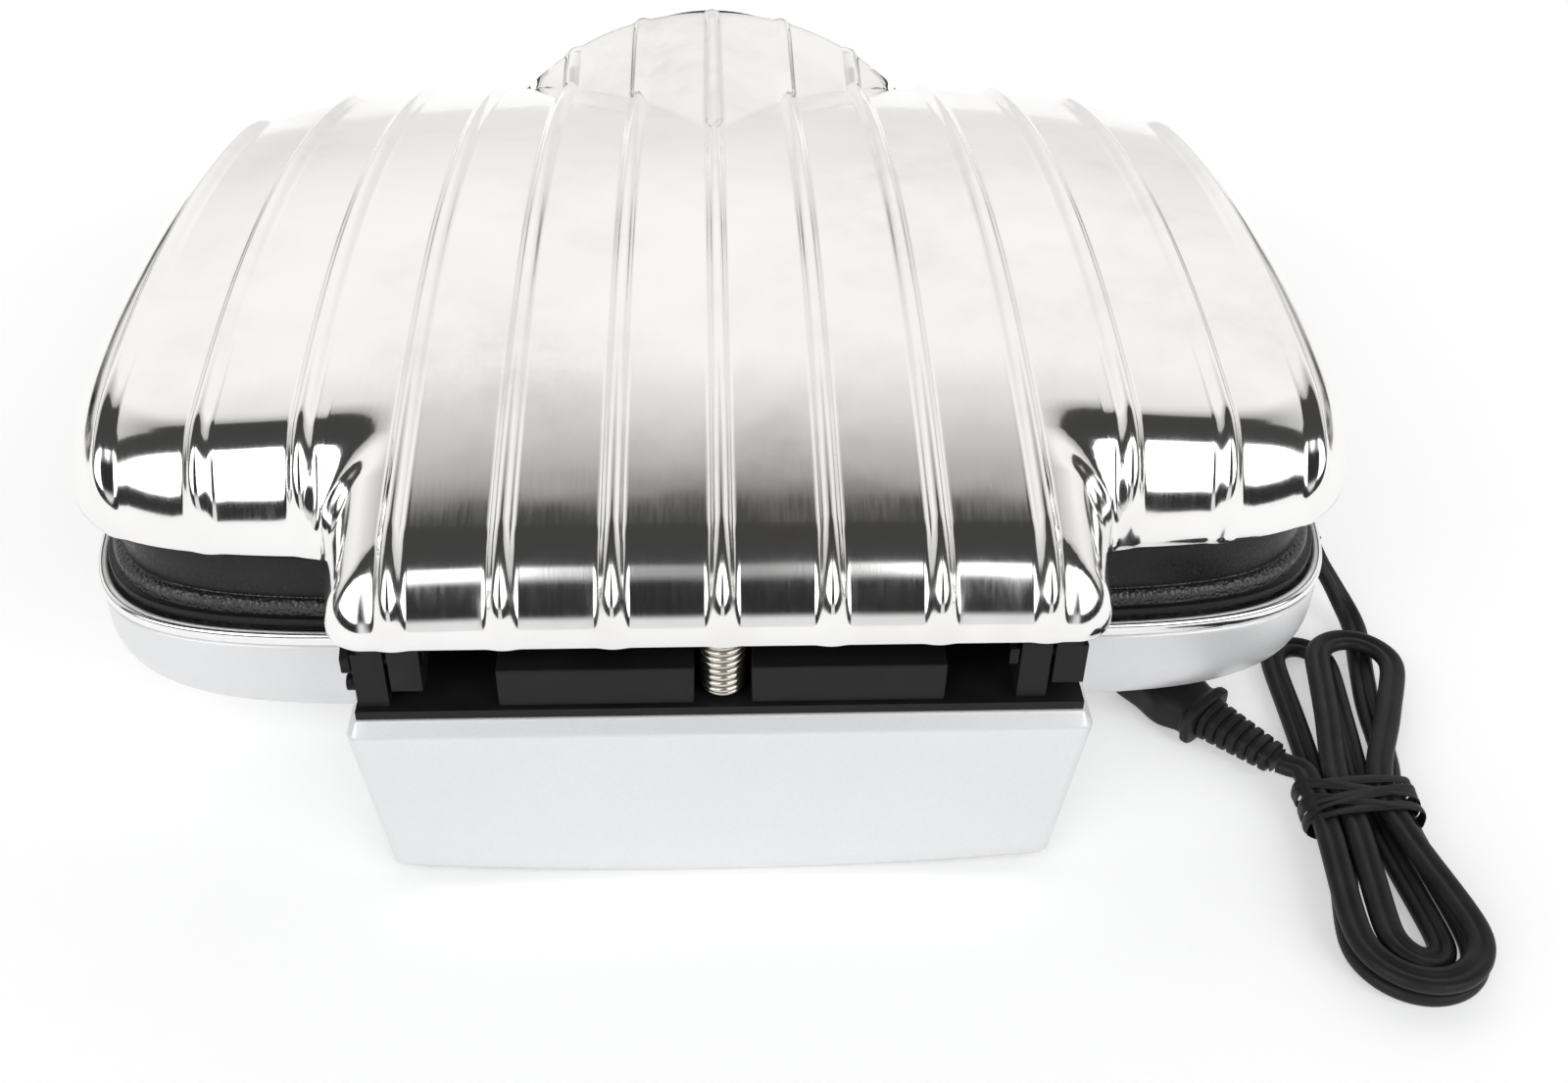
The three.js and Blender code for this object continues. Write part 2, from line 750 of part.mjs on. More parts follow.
function baseShell() {
  const passage = block(
    -passageHalf,
    passageHalf,
    boxFrontY - overrun,
    boxInnerFront + overrun,
    passageBottomZ,
    passageTopZ,
  );
  const groove = prism(outlineShape(-overrun), grooveZ - grooveHalf, grooveZ + grooveHalf)
    .subtract(prism(outlineShape(grooveDepth), grooveZ - overrun, grooveZ + overrun))
    .subtract(block(-boxHalfTop, boxHalfTop, boxFrontY, rearFace, 0, trayRimZ));
  const bosses = [-bossX, bossX].map((x) =>
    block(
      x - bossHalf,
      x + bossHalf,
      boxInnerRear - bossDepth,
      boxInnerRear + gap,
      coverZ + coverSheet + gap,
      bossTopZ,
    ),
  );
  const rim = -halfWidth;
  const hole = rodAlongX(glandRadius + gap, rim - overrun, rim + 2 * overrun, glandY, glandZ);
  const inside = trayBottomZ + wall / 2;
  return trayBody(0, trayRimZ)
    .add(boxOuter())
    .subtract(trayBody(wall, trayRimZ + overrun))
    .subtract(boxInside())
    .subtract(passage)
    .subtract(groove)
    .add(posts(postSpots, inside, lowerBackZ - gap))
    .add(posts(reflectorSpots, inside, lowerReflectorZ - gap))
    .add(joined(...bosses))
    .subtract(hole)
    .subtract(screwBore(bossX, coverScrewY, coverZ))
    .subtract(screwBore(-bossX, coverScrewY, coverZ));
}

function bottomCover() {
  return block(-coverHalf, coverHalf, coverFrontY, coverRearY, coverZ, coverZ + coverSheet)
    .subtract(screwBore(bossX, coverScrewY, coverZ))
    .subtract(screwBore(-bossX, coverScrewY, coverZ));
}

function hingeDeck() {
  const half = boxHalfTop - boxLedge - gap;
  const plate = block(-half, half, shoulderRear + gap, rearFace - boxLedge - gap, deckZ + gap, deckTopZ);
  const slot = rodAlongZ(leadRadius + insideGap, 0, springY, deckZ - overrun, deckTopZ + overrun, 12);
  return plate.subtract(slot);
}

function hingeBlock(side) {
  const x0 = side > 0 ? blockInner : -blockOuter;
  const x1 = side > 0 ? blockOuter : -blockInner;
  const body = block(x0, x1, blockRear - blockLength, blockRear, deckTopZ + gap, blockTopZ);
  const hollow = block(
    x0 + blockWall,
    x1 - blockWall,
    blockRear - blockLength - overrun,
    blockRear - blockWall,
    deckTopZ + gap + blockWall,
    blockTopZ - blockWall,
  );
  return body.subtract(hollow);
}

// Towers and arms stand in pairs along x, each arm on the low-x side of its tower
const rightTowerInner = sideClearance + armThickness + towerThickness - towerOuter;
const towerSpans = {
  left: [towerOuter - towerThickness, towerOuter],
  right: [rightTowerInner - towerThickness, rightTowerInner],
};
const armSpans = {
  left: [towerSpans.left[0] - sideClearance - armThickness, towerSpans.left[0] - sideClearance],
  right: [-towerOuter, armThickness - towerOuter],
};

function tower(name) {
  const [x0, x1] = towerSpans[name];
  const front = towerRear - towerLength;
  const shape = shapeOf([
    [front, deckTopZ + gap],
    [towerRear, deckTopZ + gap],
    [towerRear, towerTopZ],
    [front + towerLength / 3, towerTopZ],
    [front, pinZ],
  ]);
  const slotHalf = pinRadius + pinClearance;
  const slot = new THREE.Shape();
  slot.absarc(pinY, pinZ, slotHalf, Math.PI, 2 * Math.PI);
  slot.absarc(pinY, pinZ + floatTravel, slotHalf, 0, Math.PI);
  const cut = prismAlongX(slot, x0 - overrun, x1 + overrun, 6);
  return underLid(prismAlongX(shape, x0, x1)).subtract(cut);
}

function arm(name) {
  const [x0, x1] = armSpans[name];
  const shape = new THREE.Shape();
  const rear = towerRear - pinY;
  const angle = Math.asin(rear / armRadius);
  shape.absarc(pinY, pinZ, armRadius, -Math.PI / 2 + angle, -Math.PI, true);
  shape.lineTo(pinY - armFront - gap, armTopZ);
  shape.lineTo(towerRear, armTopZ);
  const bore = rodAlongX(pinRadius + pinClearance, x0 - overrun, x1 + overrun, pinY, pinZ);
  return underLid(prismAlongX(shape, x0, x1)).subtract(bore);
}

// Trims a piece of the lid assembly to the hollow of the lid
function underLid(solid) {
  return solid.intersect(lidHollow.add(block(-halfWidth, halfWidth, 0, rearFace, 0, lidRimZ - trimDepth)));
}

function hingeBar(side) {
  const x0 = side > 0 ? blockInner + insideGap : towerSpans.right[1] + sideClearance;
  const x1 = side > 0 ? armSpans.left[0] - gap : -blockInner - insideGap;
  const rear = tongueRear - wall - gap;
  const face = block(x0, x1, rear - barDepth, rear, barBottomZ, barBottomZ + barHeight);
  const hollow = block(
    x0 + blockWall,
    x1 - blockWall,
    rear - barDepth - overrun,
    rear - blockWall,
    barBottomZ + blockWall,
    barBottomZ + barHeight + overrun,
  );
  return underLid(face.subtract(hollow));
}

function hingePin(name) {
  const [t0, t1] = towerSpans[name];
  const [a0] = armSpans[name];
  const shank = rodAlongX(pinRadius, a0 + gap, t1 + gap, pinY, pinZ, 12);
  return shank.add(rodAlongX(headRadius, t1 + gap, t1 + gap + headThickness, pinY, pinZ, 6));
}

function stopPin() {
  const x = towerOuter + gap;
  const y = towerRear - headRadius;
  return rodAlongX(headRadius / 2, x, x + headThickness, y, deckTopZ + headRadius + gap, 10);
}

// Plates
function ridges(rootZ, tipZ) {
  const all = [];
  for (let k = -ridgesPerSide; k <= ridgesPerSide; k++) {
    const x = k * ridgePitch;
    const shape = shapeOf([
      [x - ridgeHalf, rootZ],
      [x + ridgeHalf, rootZ],
      [x + ridgeHalf / 2, tipZ],
      [x - ridgeHalf / 2, tipZ],
    ]);
    all.push(prismAlongY(shape, ridgeFrontY, ridgeRearY));
  }
  return joined(...all);
}

function lowerGrillPlate() {
  const seat = trayRimZ + gap;
  return prism(outlineShape(flangeInset), seat, seat + flangeThickness)
    .add(prism(outlineShape(beadInset), seat, beadTopZ))
    .add(prism(outlineShape(skirtInset), seat, lowerDeckZ))
    .add(ridges(lowerDeckZ - gap, lowerDeckZ + ridgeHeight))
    .subtract(prism(outlineShape(skirtInset + plateWall), seat - overrun, lowerBackZ));
}

function upperGrillPlate() {
  const recessZ = upperFaceZ + screwHeadHeight + gap;
  const counterbore = (x) =>
    rodAlongZ(screwHeadRadius + gap, x, postRearY, upperFaceZ - overrun, recessZ, 12);
  return prism(outlineShape(wall + 4 * insideGap), upperFaceZ - flangeThickness / 2, upperFaceZ + gap)
    .add(prism(outlineShape(skirtInset + plateWall), upperFaceZ, upperBackZ))
    .add(ridges(upperFaceZ + gap, upperTipZ))
    .subtract(screwBore(postX, postRearY, upperFaceZ))
    .subtract(screwBore(-postX, postRearY, upperFaceZ))
    .subtract(counterbore(postX))
    .subtract(counterbore(-postX));
}

// One bend of the element, as three points about the corner at x, y
function elementBendAt(x, y, side, turn, z) {
  return [
    new THREE.Vector3(x - side * elementCorner, y, z),
    new THREE.Vector3(x - side * elementCorner * elementBend, y + turn * elementCorner * elementBend, z),
    new THREE.Vector3(x, y + turn * elementCorner, z),
  ];
}

function heatingElement(z) {
  const inner = elementTailX + elementCorner;
  const half = [
    new THREE.Vector3(elementTailX, elementTailY, z),
    ...elementBendAt(elementTailX, elementRearY, -1, 1, z).reverse(),
    ...elementBendAt(elementHalfWidth, elementRearY, 1, -1, z),
    ...elementBendAt(elementHalfWidth, elementFrontY, 1, 1, z).reverse(),
  ].filter((p) => p.x >= elementTailX && (p.y !== elementRearY || p.x >= inner));
  const mirrored = half.map((p) => new THREE.Vector3(-p.x, p.y, p.z)).reverse();
  return tube([...half, ...mirrored], elementRadius, 6, 64);
}

function reflector(z, lipZ) {
  const pan = prism(outlineShape(reflectorInset), z, z + sheet);
  const rim = prism(outlineShape(reflectorInset), Math.min(z, lipZ), Math.max(z, lipZ) + sheet);
  const inner = prism(outlineShape(reflectorInset + sheet), z - overrun, z + overrun);
  return pan.add(rim.subtract(inner));
}

function thermostat() {
  const top = lowerReflectorZ - gap;
  const x = elementTailX;
  const can = rodAlongZ(thermostatRadius, x, 0, top - thermostatHeight, top, 14);
  return can.add(rodAlongZ(thermostatRadius / 2, x, 0, top - 2 * thermostatHeight, top - sheet, 10));
}

function terminalBlock() {
  const floor = trayBottomZ + wall + gap;
  const y = elementTailY - terminalDepth;
  const body = block(-terminalHalf, terminalHalf, y, y + terminalDepth, floor, floor + terminalHeight);
  const top = floor + terminalHeight + overrun;
  const ways = [-1, 0, 1].map((k) =>
    rodAlongZ(screwHeadRadius, k * terminalHalf * terminalShare, y + terminalDepth / 2, floor + wall, top, 8),
  );
  return body.subtract(joined(...ways));
}

// Small parts
function frontFoot(x) {
  return rodAlongZ(frontFootRadius, x, frontFootY, 0, trayBottomZ - gap, 16);
}

function rearFoot(x) {
  return rodAlongZ(rearFootRadius, x, rearFootY, 0, coverZ - gap, 16);
}

function screw(x, y, headZ, tipZ) {
  const sign = Math.sign(tipZ - headZ);
  const neck = headZ + sign * screwHeadHeight;
  const low = Math.min(headZ, neck);
  const head = rodAlongZ(screwHeadRadius, x, y, low, low + screwHeadHeight, 10);
  return head.add(rodAlongZ(screwRadius, x, y, Math.min(neck, tipZ), Math.max(neck, tipZ), 8));
}

function springGeometry() {
  const rings = [];
  const stepsPerCurl = 8;
  const sides = 5;
  const count = springCurls * stepsPerCurl;
  const bottom = deckTopZ + gap + 2 * springWire;
  const ring = (angle, z, tilt) => {
    const out = new THREE.Vector3(Math.cos(angle), Math.sin(angle), 0);
    const centre = out.clone().multiplyScalar(springRadius).add(new THREE.Vector3(0, springY, z));
    const along = new THREE.Vector3(-Math.sin(angle), Math.cos(angle), 0);
    const side = tilt ? along.negate() : up.clone();
    const points = [];
    for (let k = 0; k < sides; k++) {
      const turn = (2 * Math.PI * k) / sides;
      const place = centre.clone().addScaledVector(out, springWire * Math.cos(turn));
      points.push(place.addScaledVector(side, springWire * Math.sin(turn)));
    }
    return points;
  };
  rings.push(ring(0, bottom - 2 * springWire, true));
  for (let i = 0; i <= count; i++) {
    const angle = (2 * Math.PI * i) / stepsPerCurl;
    rings.push(ring(angle, bottom + (springPitch * i) / stepsPerCurl, false));
  }
  rings.push(ring(0, bottom + springPitch * springCurls + 2 * springWire, true));
  return ringTube(rings);
}

// Cord: across is to the right as seen from behind, along runs from the waist towards the handle
function ease(share) {
  const s = Math.min(1, Math.max(0, share));
  return s * s * (3 - 2 * s);
}

function hankLine() {
  const points = [];
  const fromMiddle = (turns) => Math.abs(turns - (hankTurns / 2));
  const bendOffset = (turns) => runPitch * (0.25 + fromMiddle(turns)) + bendWiden;
  const runOffset = (turns) => runPitch * (0.5 + Math.abs(fromMiddle(turns) - 0.25));
  const climbStart = hankTurns / 2 - climbTurns / 2;
  const height = (turns) => lowerLayerZ + layerStep * ease((turns - climbStart) / climbTurns);
  const add = (across, y, turns) => points.push(new THREE.Vector3(hankX - across, y, height(turns)));
  const ends = [
    { turns: 0, y: waistY - leadJoin, lean: 0, half: runOffset(0.25) + leadFlare },
    { turns: 1, y: longBendY, lean: longLean, half: bendOffset(1) - longNarrow },
    { turns: 2, y: roundBendY, lean: roundLean, half: bendOffset(2) },
    { turns: 3, y: waistY - tailJoin, lean: 0, half: runOffset(2.75) },
  ];
  const upperRun = (end, side, waist, order) => {
    const foot = waistY - tieHalfLength - gap;
    const place = (part) => {
      const across = side * waist + (end.lean + side * (end.half - waist)) * ease(part);
      add(across, foot + (end.y - foot) * part, end.turns);
    };
    order.forEach(place);
  };
  for (let n = 0; n < hankTurns; n++) {
    const low = bendOffset(n + 0.5);
    const right = runOffset(n + 0.25);
    const left = runOffset(n + 0.75);
    upperRun(ends[n], 1, right, n ? [0.55, 0] : [1, 0]);
    add(right, waistY + tieHalfLength + gap, n);
    for (let i = 0; i <= bendSteps; i++) {
      const angle = (Math.PI * i) / bendSteps;
      const turns = n + 0.5 + (i / bendSteps - 0.5) * climbTurns;
      add(low * Math.cos(angle), lowerBendY + low * Math.sin(angle), turns);
    }
    add(-left, waistY + tieHalfLength + gap, n + 1);
    const end = ends[n + 1];
    if (n + 1 === hankTurns) upperRun(end, -1, left, [0, 1]);
    else {
      upperRun(end, -1, left, [0, 0.55]);
      for (let i = 0; i <= bendSteps; i++) {
        const angle = Math.PI - (Math.PI * i) / bendSteps;
        add(end.lean + end.half * Math.cos(angle), end.y - end.half * Math.sin(angle), end.turns);
      }
    }
  }
  return points;
}

const hankSection = [
  [1, 0],
  [0.55, 1],
  [-0.55, 1],
  [-1, 0],
  [-0.55, -1],
  [0.55, -1],
];

function flatRings(points, section) {
  return points.map((point, i) => {
    const ahead = points[Math.min(i + 1, points.length - 1)];
    const behind = points[Math.max(i - 1, 0)];
    const along = new THREE.Vector3().subVectors(ahead, behind).normalize();
    const side = new THREE.Vector3().crossVectors(along, up).normalize();
    const over = new THREE.Vector3().crossVectors(side, along);
    return section.map(([a, b]) =>
      point
        .clone()
        .addScaledVector(side, (a * cordWidth) / 2)
        .addScaledVector(over, (b * cordThickness) / 2),
    );
  });
}

function leastGap(rings, apart) {
  let least = Infinity;
  const dense = [];
  for (let i = 0; i + 1 < rings.length; i++)
    for (let part = 0; part < 3; part++)
      dense.push(
        rings[i].flatMap((p, k) => {
          const q = rings[i][(k + 1) % rings[i].length];
          const r = rings[i + 1][k];
          const s = rings[i + 1][(k + 1) % rings[i].length];
          const at = p.clone().lerp(r, part / 3);
          return [at, at.clone().lerp(q.clone().lerp(s, part / 3), 0.5)];
        }),
      );
  for (let i = 0; i < dense.length; i++)
    for (let j = i + 3 * apart; j < dense.length; j++)
      for (const p of dense[i]) for (const q of dense[j]) least = Math.min(least, p.distanceTo(q));
  return least;
}

function hankGeometry() {
  const rings = flatRings(hankLine(), hankSection);
  const apart = 3;
  console.log(`hank: least self-gap ${leastGap(rings, apart).toFixed(2)} mm`);
  return ringTube(rings);
}

// The lead from the gland to the hank, chosen by hand
const leadPoints = [
  [-191.8, 46.5, 26.8],
  [-192.9, 50.2, 25],
  [-195, 53.4, 21.8],
  [-198.3, 55.5, 17.2],
  [-201.6, 57.6, 12.4],
  [-204.4, 60.6, 8.2],
  [-206.4, 65, 5.2],
  [-206.8, 70.5, 3.7],
  [-205.6, 77, 3.2],
  [-203.8, 85, 3.2],
  [-202, 93.5, 3.2],
  [-200.3, 102, 3.2],
  [-199.1, 110.5, 3.2],
  [-198.4, 118.5, 3.2],
  [-197.8, 125, 3.2],
  [-196.8, 131, 3.2],
].map((p) => new THREE.Vector3(...p));

// The short end from the plug to the hank
const tailPoints = [
  [-163.6, 132.4, 7.2],
  [-165, 133.8, 7.3],
  [-167, 134.8, 7.7],
  [-168.7, 135.6, 8],
  [-169.4, 136.6, 8.1],
  [-169.4, 137.8, 8.1],
].map((p) => new THREE.Vector3(...p));

const freeSection = [
  [1, 0.35],
  [0.7, 1],
  [-0.7, 1],
  [-1, 0.35],
  [-1, -0.35],
  [-0.7, -1],
  [0.7, -1],
  [1, -0.35],
];

function freeCord(points, steps) {
  const curve = new THREE.CatmullRomCurve3(points, false, "centripetal");
  return ringTube(flatRings(curve.getSpacedPoints(steps), freeSection));
}

function cordGland() {
  const x = -halfWidth - 2 * gap;
  const neck = x - 1.6 * wall;
  const barrel = rodAlongX(glandRadius, neck, x + 3 * wall, glandY, glandZ);
  const flange = rodAlongX(glandFlangeRadius, x - wall, x, glandY, glandZ);
  const from = new THREE.Vector3(neck, glandY, glandZ);
  const away = new THREE.Vector3().subVectors(leadPoints[0], from).normalize();
  const to = leadPoints[0].clone().addScaledVector(away, -4 * gap);
  return barrel.add(flange).add(rod(glandRadius, from, to, 12, reliefNarrow));
}

// Plug frame: x runs from the tip of the body to the cord
function toPlug(solid) {
  const geometry = geometryOf(solid);
  geometry.rotateZ(plugAngle);
  geometry.translate(plugTip.x, plugTip.y, 0);
  return geometry;
}

function plugBody() {
  const end = plugBodyLength;
  const shape = shapeOf([
    [0, -plugNoseHalfWidth],
    [end * 0.35, -plugNoseHalfWidth],
    [end * 0.6, -plugBodyHalfWidth],
    [end * 0.86, -plugBodyHalfWidth * 0.8],
    [end * 0.9, -plugBodyHalfWidth],
    [end, -plugBodyHalfWidth],
    [end, plugBodyHalfWidth],
    [end * 0.9, plugBodyHalfWidth],
    [end * 0.86, plugBodyHalfWidth * 0.8],
    [end * 0.6, plugBodyHalfWidth],
    [end * 0.35, plugNoseHalfWidth],
    [0, plugNoseHalfWidth],
  ]);
  const bottom = plugZ - plugBodyThickness / 2;
  const slots = [-bladeSpacing / 2, bladeSpacing / 2].map((y) =>
    block(
      -overrun,
      bladeSeat + gap,
      y - bladeThickness / 2 - gap,
      y + bladeThickness / 2 + gap,
      plugZ - bladeHeight / 2 - gap,
      plugZ + bladeHeight / 2 + gap,
    ),
  );
  return toPlug(prism(shape, bottom, bottom + plugBodyThickness).subtract(joined(...slots)));
}

function plugBlade(y) {
  return toPlug(
    block(
      -bladeLength,
      bladeSeat,
      y - bladeThickness / 2,
      y + bladeThickness / 2,
      plugZ - bladeHeight / 2,
      plugZ + bladeHeight / 2,
    ),
  );
}

function plugRelief() {
  const profile = [[0, 0]];
  const from = plugBodyLength + gap;
  for (let k = 0; k < reliefRibs; k++) {
    const at = (share) => (reliefLength * (k + share)) / reliefRibs;
    const radius = (share) => reliefWide + ((reliefNarrow - reliefWide) * (k + share)) / reliefRibs;
    profile.push([radius(0), at(0)], [radius(0.6), at(0.6)]);
    profile.push([radius(0.6) - reliefRibHeight, at(0.62)], [radius(1) - reliefRibHeight, at(0.98)]);
  }
  profile.push([reliefNarrow, reliefLength], [0, reliefLength]);
  const geometry = new THREE.LatheGeometry(
    profile.map(([r, h]) => new THREE.Vector2(r, h)),
    12,
  );
  geometry.rotateZ(-Math.PI / 2);
  geometry.translate(from, 0, plugZ);
  return toPlug(solidOf(geometry));
}

function cordTie() {
  const innerHalf = 1.5 * runPitch + cordWidth / 2 + 2 * gap;
  const top = lowerLayerZ + layerStep + cordThickness / 2 + gap;
  const outer = block(
    hankX - innerHalf - tieWall,
    hankX + innerHalf + tieWall,
    waistY - tieHalfLength,
    waistY + tieHalfLength,
    0,
    top + tieWall,
  );
  const inner = block(
    hankX - innerHalf,
    hankX + innerHalf,
    waistY - tieHalfLength - overrun,
    waistY + tieHalfLength + overrun,
    tieWall,
    top,
  );
  return outer.subtract(inner);
}

// Assembly
const grill = new THREE.Group();

function place(name, shape, finish) {
  const geometry = shape.isBufferGeometry ? shape : geometryOf(shape);
  const mesh = new THREE.Mesh(geometry, new THREE.MeshStandardMaterial(finishes[finish]));
  mesh.name = name;
  grill.add(mesh);
}

place("base_shell", baseShell(), "silverPaint");
place("rear_bottom_cover", bottomCover(), "blackPlastic");
place("cover_screw_left", screw(bossX, coverScrewY, coverHeadZ, coverZ + overrun), "steel");
place("cover_screw_right", screw(-bossX, coverScrewY, coverHeadZ, coverZ + overrun), "steel");
place("front_foot_left", frontFoot(frontFootX), "rubber");
place("front_foot_right", frontFoot(-frontFootX), "rubber");
place("rear_foot_left", rearFoot(rearFootX), "rubber");
place("rear_foot_right", rearFoot(-rearFootX), "rubber");
place("lower_grill_plate", lowerGrillPlate(), "nonStick");
place("lower_heating_element", heatingElement(lowerElementZ), "steel");
place("lower_reflector", reflector(lowerReflectorZ, lowerReflectorZ - reflectorLip), "steel");
place("thermostat", thermostat(), "steel");
place("terminal_block", terminalBlock(), "ceramic");
place("hinge_deck", hingeDeck(), "blackPlastic");
place("hinge_block_left", hingeBlock(1), "blackPlastic");
place("hinge_block_right", hingeBlock(-1), "blackPlastic");
place("tower_left", tower("left"), "blackPlastic");
place("tower_right", tower("right"), "blackPlastic");
place("hinge_pin_left", hingePin("left"), "steel");
place("hinge_pin_right", hingePin("right"), "steel");
place("stop_pin_left", stopPin(), "steel");
place("lid_arm_left", arm("left"), "blackPlastic");
place("lid_arm_right", arm("right"), "blackPlastic");
place("hinge_bar_left", hingeBar(1), "blackPlastic");
place("hinge_bar_right", hingeBar(-1), "blackPlastic");
place("wire_guard_spring", springGeometry(), "steel");
place("lid_leads", rodAlongZ(leadRadius, 0, springY, leadBottomZ, leadTopZ, 10), "sleeve");
place("lid_shell", lidShell(), "castAluminium");
place("handle_insert", handleInsert(), "blackPlastic");
place("upper_grill_plate", upperGrillPlate(), "nonStick");
place("upper_heating_element", heatingElement(upperElementZ), "steel");
place("upper_reflector", reflector(upperReflectorZ, upperReflectorZ + reflectorLip), "steel");
place("upper_plate_screw_left", screw(postX, postRearY, upperFaceZ, upperBackZ + overrun), "steel");
place("upper_plate_screw_right", screw(-postX, postRearY, upperFaceZ, upperBackZ + overrun), "steel");
place("cord_gland", cordGland(), "rubber");
place("cord_lead", freeCord(leadPoints, 30), "cordVinyl");
place("cord_hank", hankGeometry(), "cordVinyl");
place("cord_tie", cordTie(), "tie");
place("cord_tail", freeCord(tailPoints, 7), "cordVinyl");
place("plug_relief", plugRelief(), "cordVinyl");
place("plug_body", plugBody(), "cordVinyl");
place("plug_blade_left", plugBlade(bladeSpacing / 2), "steel");
place("plug_blade_right", plugBlade(-bladeSpacing / 2), "steel");

export default grill;
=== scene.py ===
import math

import bmesh
import bpy
import numpy as np
from mathutils import Matrix, Vector


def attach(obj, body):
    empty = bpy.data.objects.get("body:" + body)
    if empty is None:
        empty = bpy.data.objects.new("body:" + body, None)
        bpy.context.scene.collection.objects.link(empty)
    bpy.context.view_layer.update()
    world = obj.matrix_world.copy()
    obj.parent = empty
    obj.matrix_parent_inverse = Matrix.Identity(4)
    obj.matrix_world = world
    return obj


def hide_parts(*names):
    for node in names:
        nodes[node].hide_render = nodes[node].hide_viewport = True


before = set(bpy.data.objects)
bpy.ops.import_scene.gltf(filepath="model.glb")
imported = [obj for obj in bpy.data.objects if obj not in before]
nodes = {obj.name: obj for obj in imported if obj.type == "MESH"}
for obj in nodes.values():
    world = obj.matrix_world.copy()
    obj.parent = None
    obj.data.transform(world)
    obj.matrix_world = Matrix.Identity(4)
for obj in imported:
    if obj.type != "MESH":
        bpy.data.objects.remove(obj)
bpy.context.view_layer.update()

MM = 0.001
TURN = 2 * math.pi
scene = bpy.context.scene


# Node trees and materials

class Tree:
    """A node tree, with short ways to add and join its nodes."""

    def __init__(self, tree):
        self.tree = tree

    def add(self, kind, **settings):
        node = self.tree.nodes.new(kind)
        for key, value in settings.items():
            setattr(node, key, value)
        return node

    def put(self, source, socket):
        """Links another node's output to a socket, or sets the socket's fixed value."""
        if isinstance(source, bpy.types.NodeSocket):
            self.tree.links.new(source, socket)
        else:
            socket.default_value = source

    def fill(self, node, **sources):
        for key, source in sources.items():
            self.put(source, node.inputs[key.replace("_", " ")])
        return node

    def noise(self, places, scale, detail=3.0, rough=0.5):
        node = self.add("ShaderNodeTexNoise")
        return self.fill(node, Vector=places, Scale=scale, Detail=detail, Roughness=rough).outputs["Fac"]

    def spread(self, source, low, high, to_low=0.0, to_high=1.0, kind="LINEAR"):
        node = self.add("ShaderNodeMapRange", interpolation_type=kind)
        self.fill(node, Value=source, From_Min=low, From_Max=high, To_Min=to_low, To_Max=to_high)
        return node.outputs["Result"]

    def ramp(self, source, low, high, to_low=0.0, to_high=1.0):
        return self.spread(source, low, high, to_low, to_high, "SMOOTHSTEP")

    def blend(self, share, one, two):
        node = self.add("ShaderNodeMix", data_type="RGBA")
        self.put(share, node.inputs["Factor"])
        for socket, colour in ((node.inputs[6], one), (node.inputs[7], two)):
            self.put((*colour, 1.0) if isinstance(colour, tuple) else colour, socket)
        return node.outputs[2]

    def maths(self, kind, one, two=0.0):
        node = self.add("ShaderNodeMath", operation=kind)
        self.put(one, node.inputs[0])
        self.put(two, node.inputs[1])
        return node.outputs["Value"]

    def plus(self, one, two):
        return self.maths("ADD", one, two)

    def times(self, one, two):
        return self.maths("MULTIPLY", one, two)

    def between(self, share, one, two):
        return self.plus(self.times(one, self.maths("SUBTRACT", 1.0, share)), self.times(two, share))


class Look(Tree):
    """A material on the standard shader."""

    def __init__(self, name):
        self.material = bpy.data.materials.new(name)
        self.material.use_nodes = True
        super().__init__(self.material.node_tree)
        self.shader = self.tree.nodes["Principled BSDF"]

    def places(self, scale=(1, 1, 1), kind="Object"):
        source = self.add("ShaderNodeTexCoord")
        mapping = self.add("ShaderNodeMapping")
        return self.fill(mapping, Vector=source.outputs[kind], Scale=scale).outputs["Vector"]

    def cells(self, places, scale):
        return self.fill(self.add("ShaderNodeTexVoronoi"), Vector=places, Scale=scale).outputs["Distance"]

    def bump(self, height, distance, strength=1.0, under=None):
        node = self.add("ShaderNodeBump")
        self.fill(node, Height=height, Distance=distance, Strength=strength)
        if under is not None:
            self.put(under, node.inputs["Normal"])
        return node.outputs["Normal"]

    def finish(self, colour, rough, normal, metallic=0.0, **fixed):
        self.fill(self.shader, Base_Color=colour, Roughness=rough, Normal=normal, Metallic=metallic, **fixed)
        return self.material


def polished_aluminium():
    look = Look("polished_aluminium")
    places = look.places()
    clouds = look.noise(places, 13, 3.0, 0.6)
    marks = look.noise(places, 75, 5.0, 0.6)
    brush = look.noise(look.places((1400, 60, 200)), 1, 4.0, 0.6)
    worn = look.times(look.spread(clouds, 0.4, 0.7), look.spread(marks, 0.35, 0.7, 0.3, 1.0))
    colour = look.blend(worn, (0.93, 0.925, 0.915), (0.79, 0.775, 0.755))
    rough = look.plus(look.spread(worn, 0.0, 1.0, 0.09, 0.18), look.spread(brush, 0.3, 0.7, -0.02, 0.03))
    waves = look.bump(look.noise(places, 26, 2.0, 0.5), 0.0012, 0.2)
    grain = look.bump(brush, 0.00002, 0.25, waves)
    pits = look.bump(look.spread(look.cells(places, 420), 0.0, 0.1), 0.00003, 0.1, grain)
    return look.finish(colour, rough, pits, 1.0)


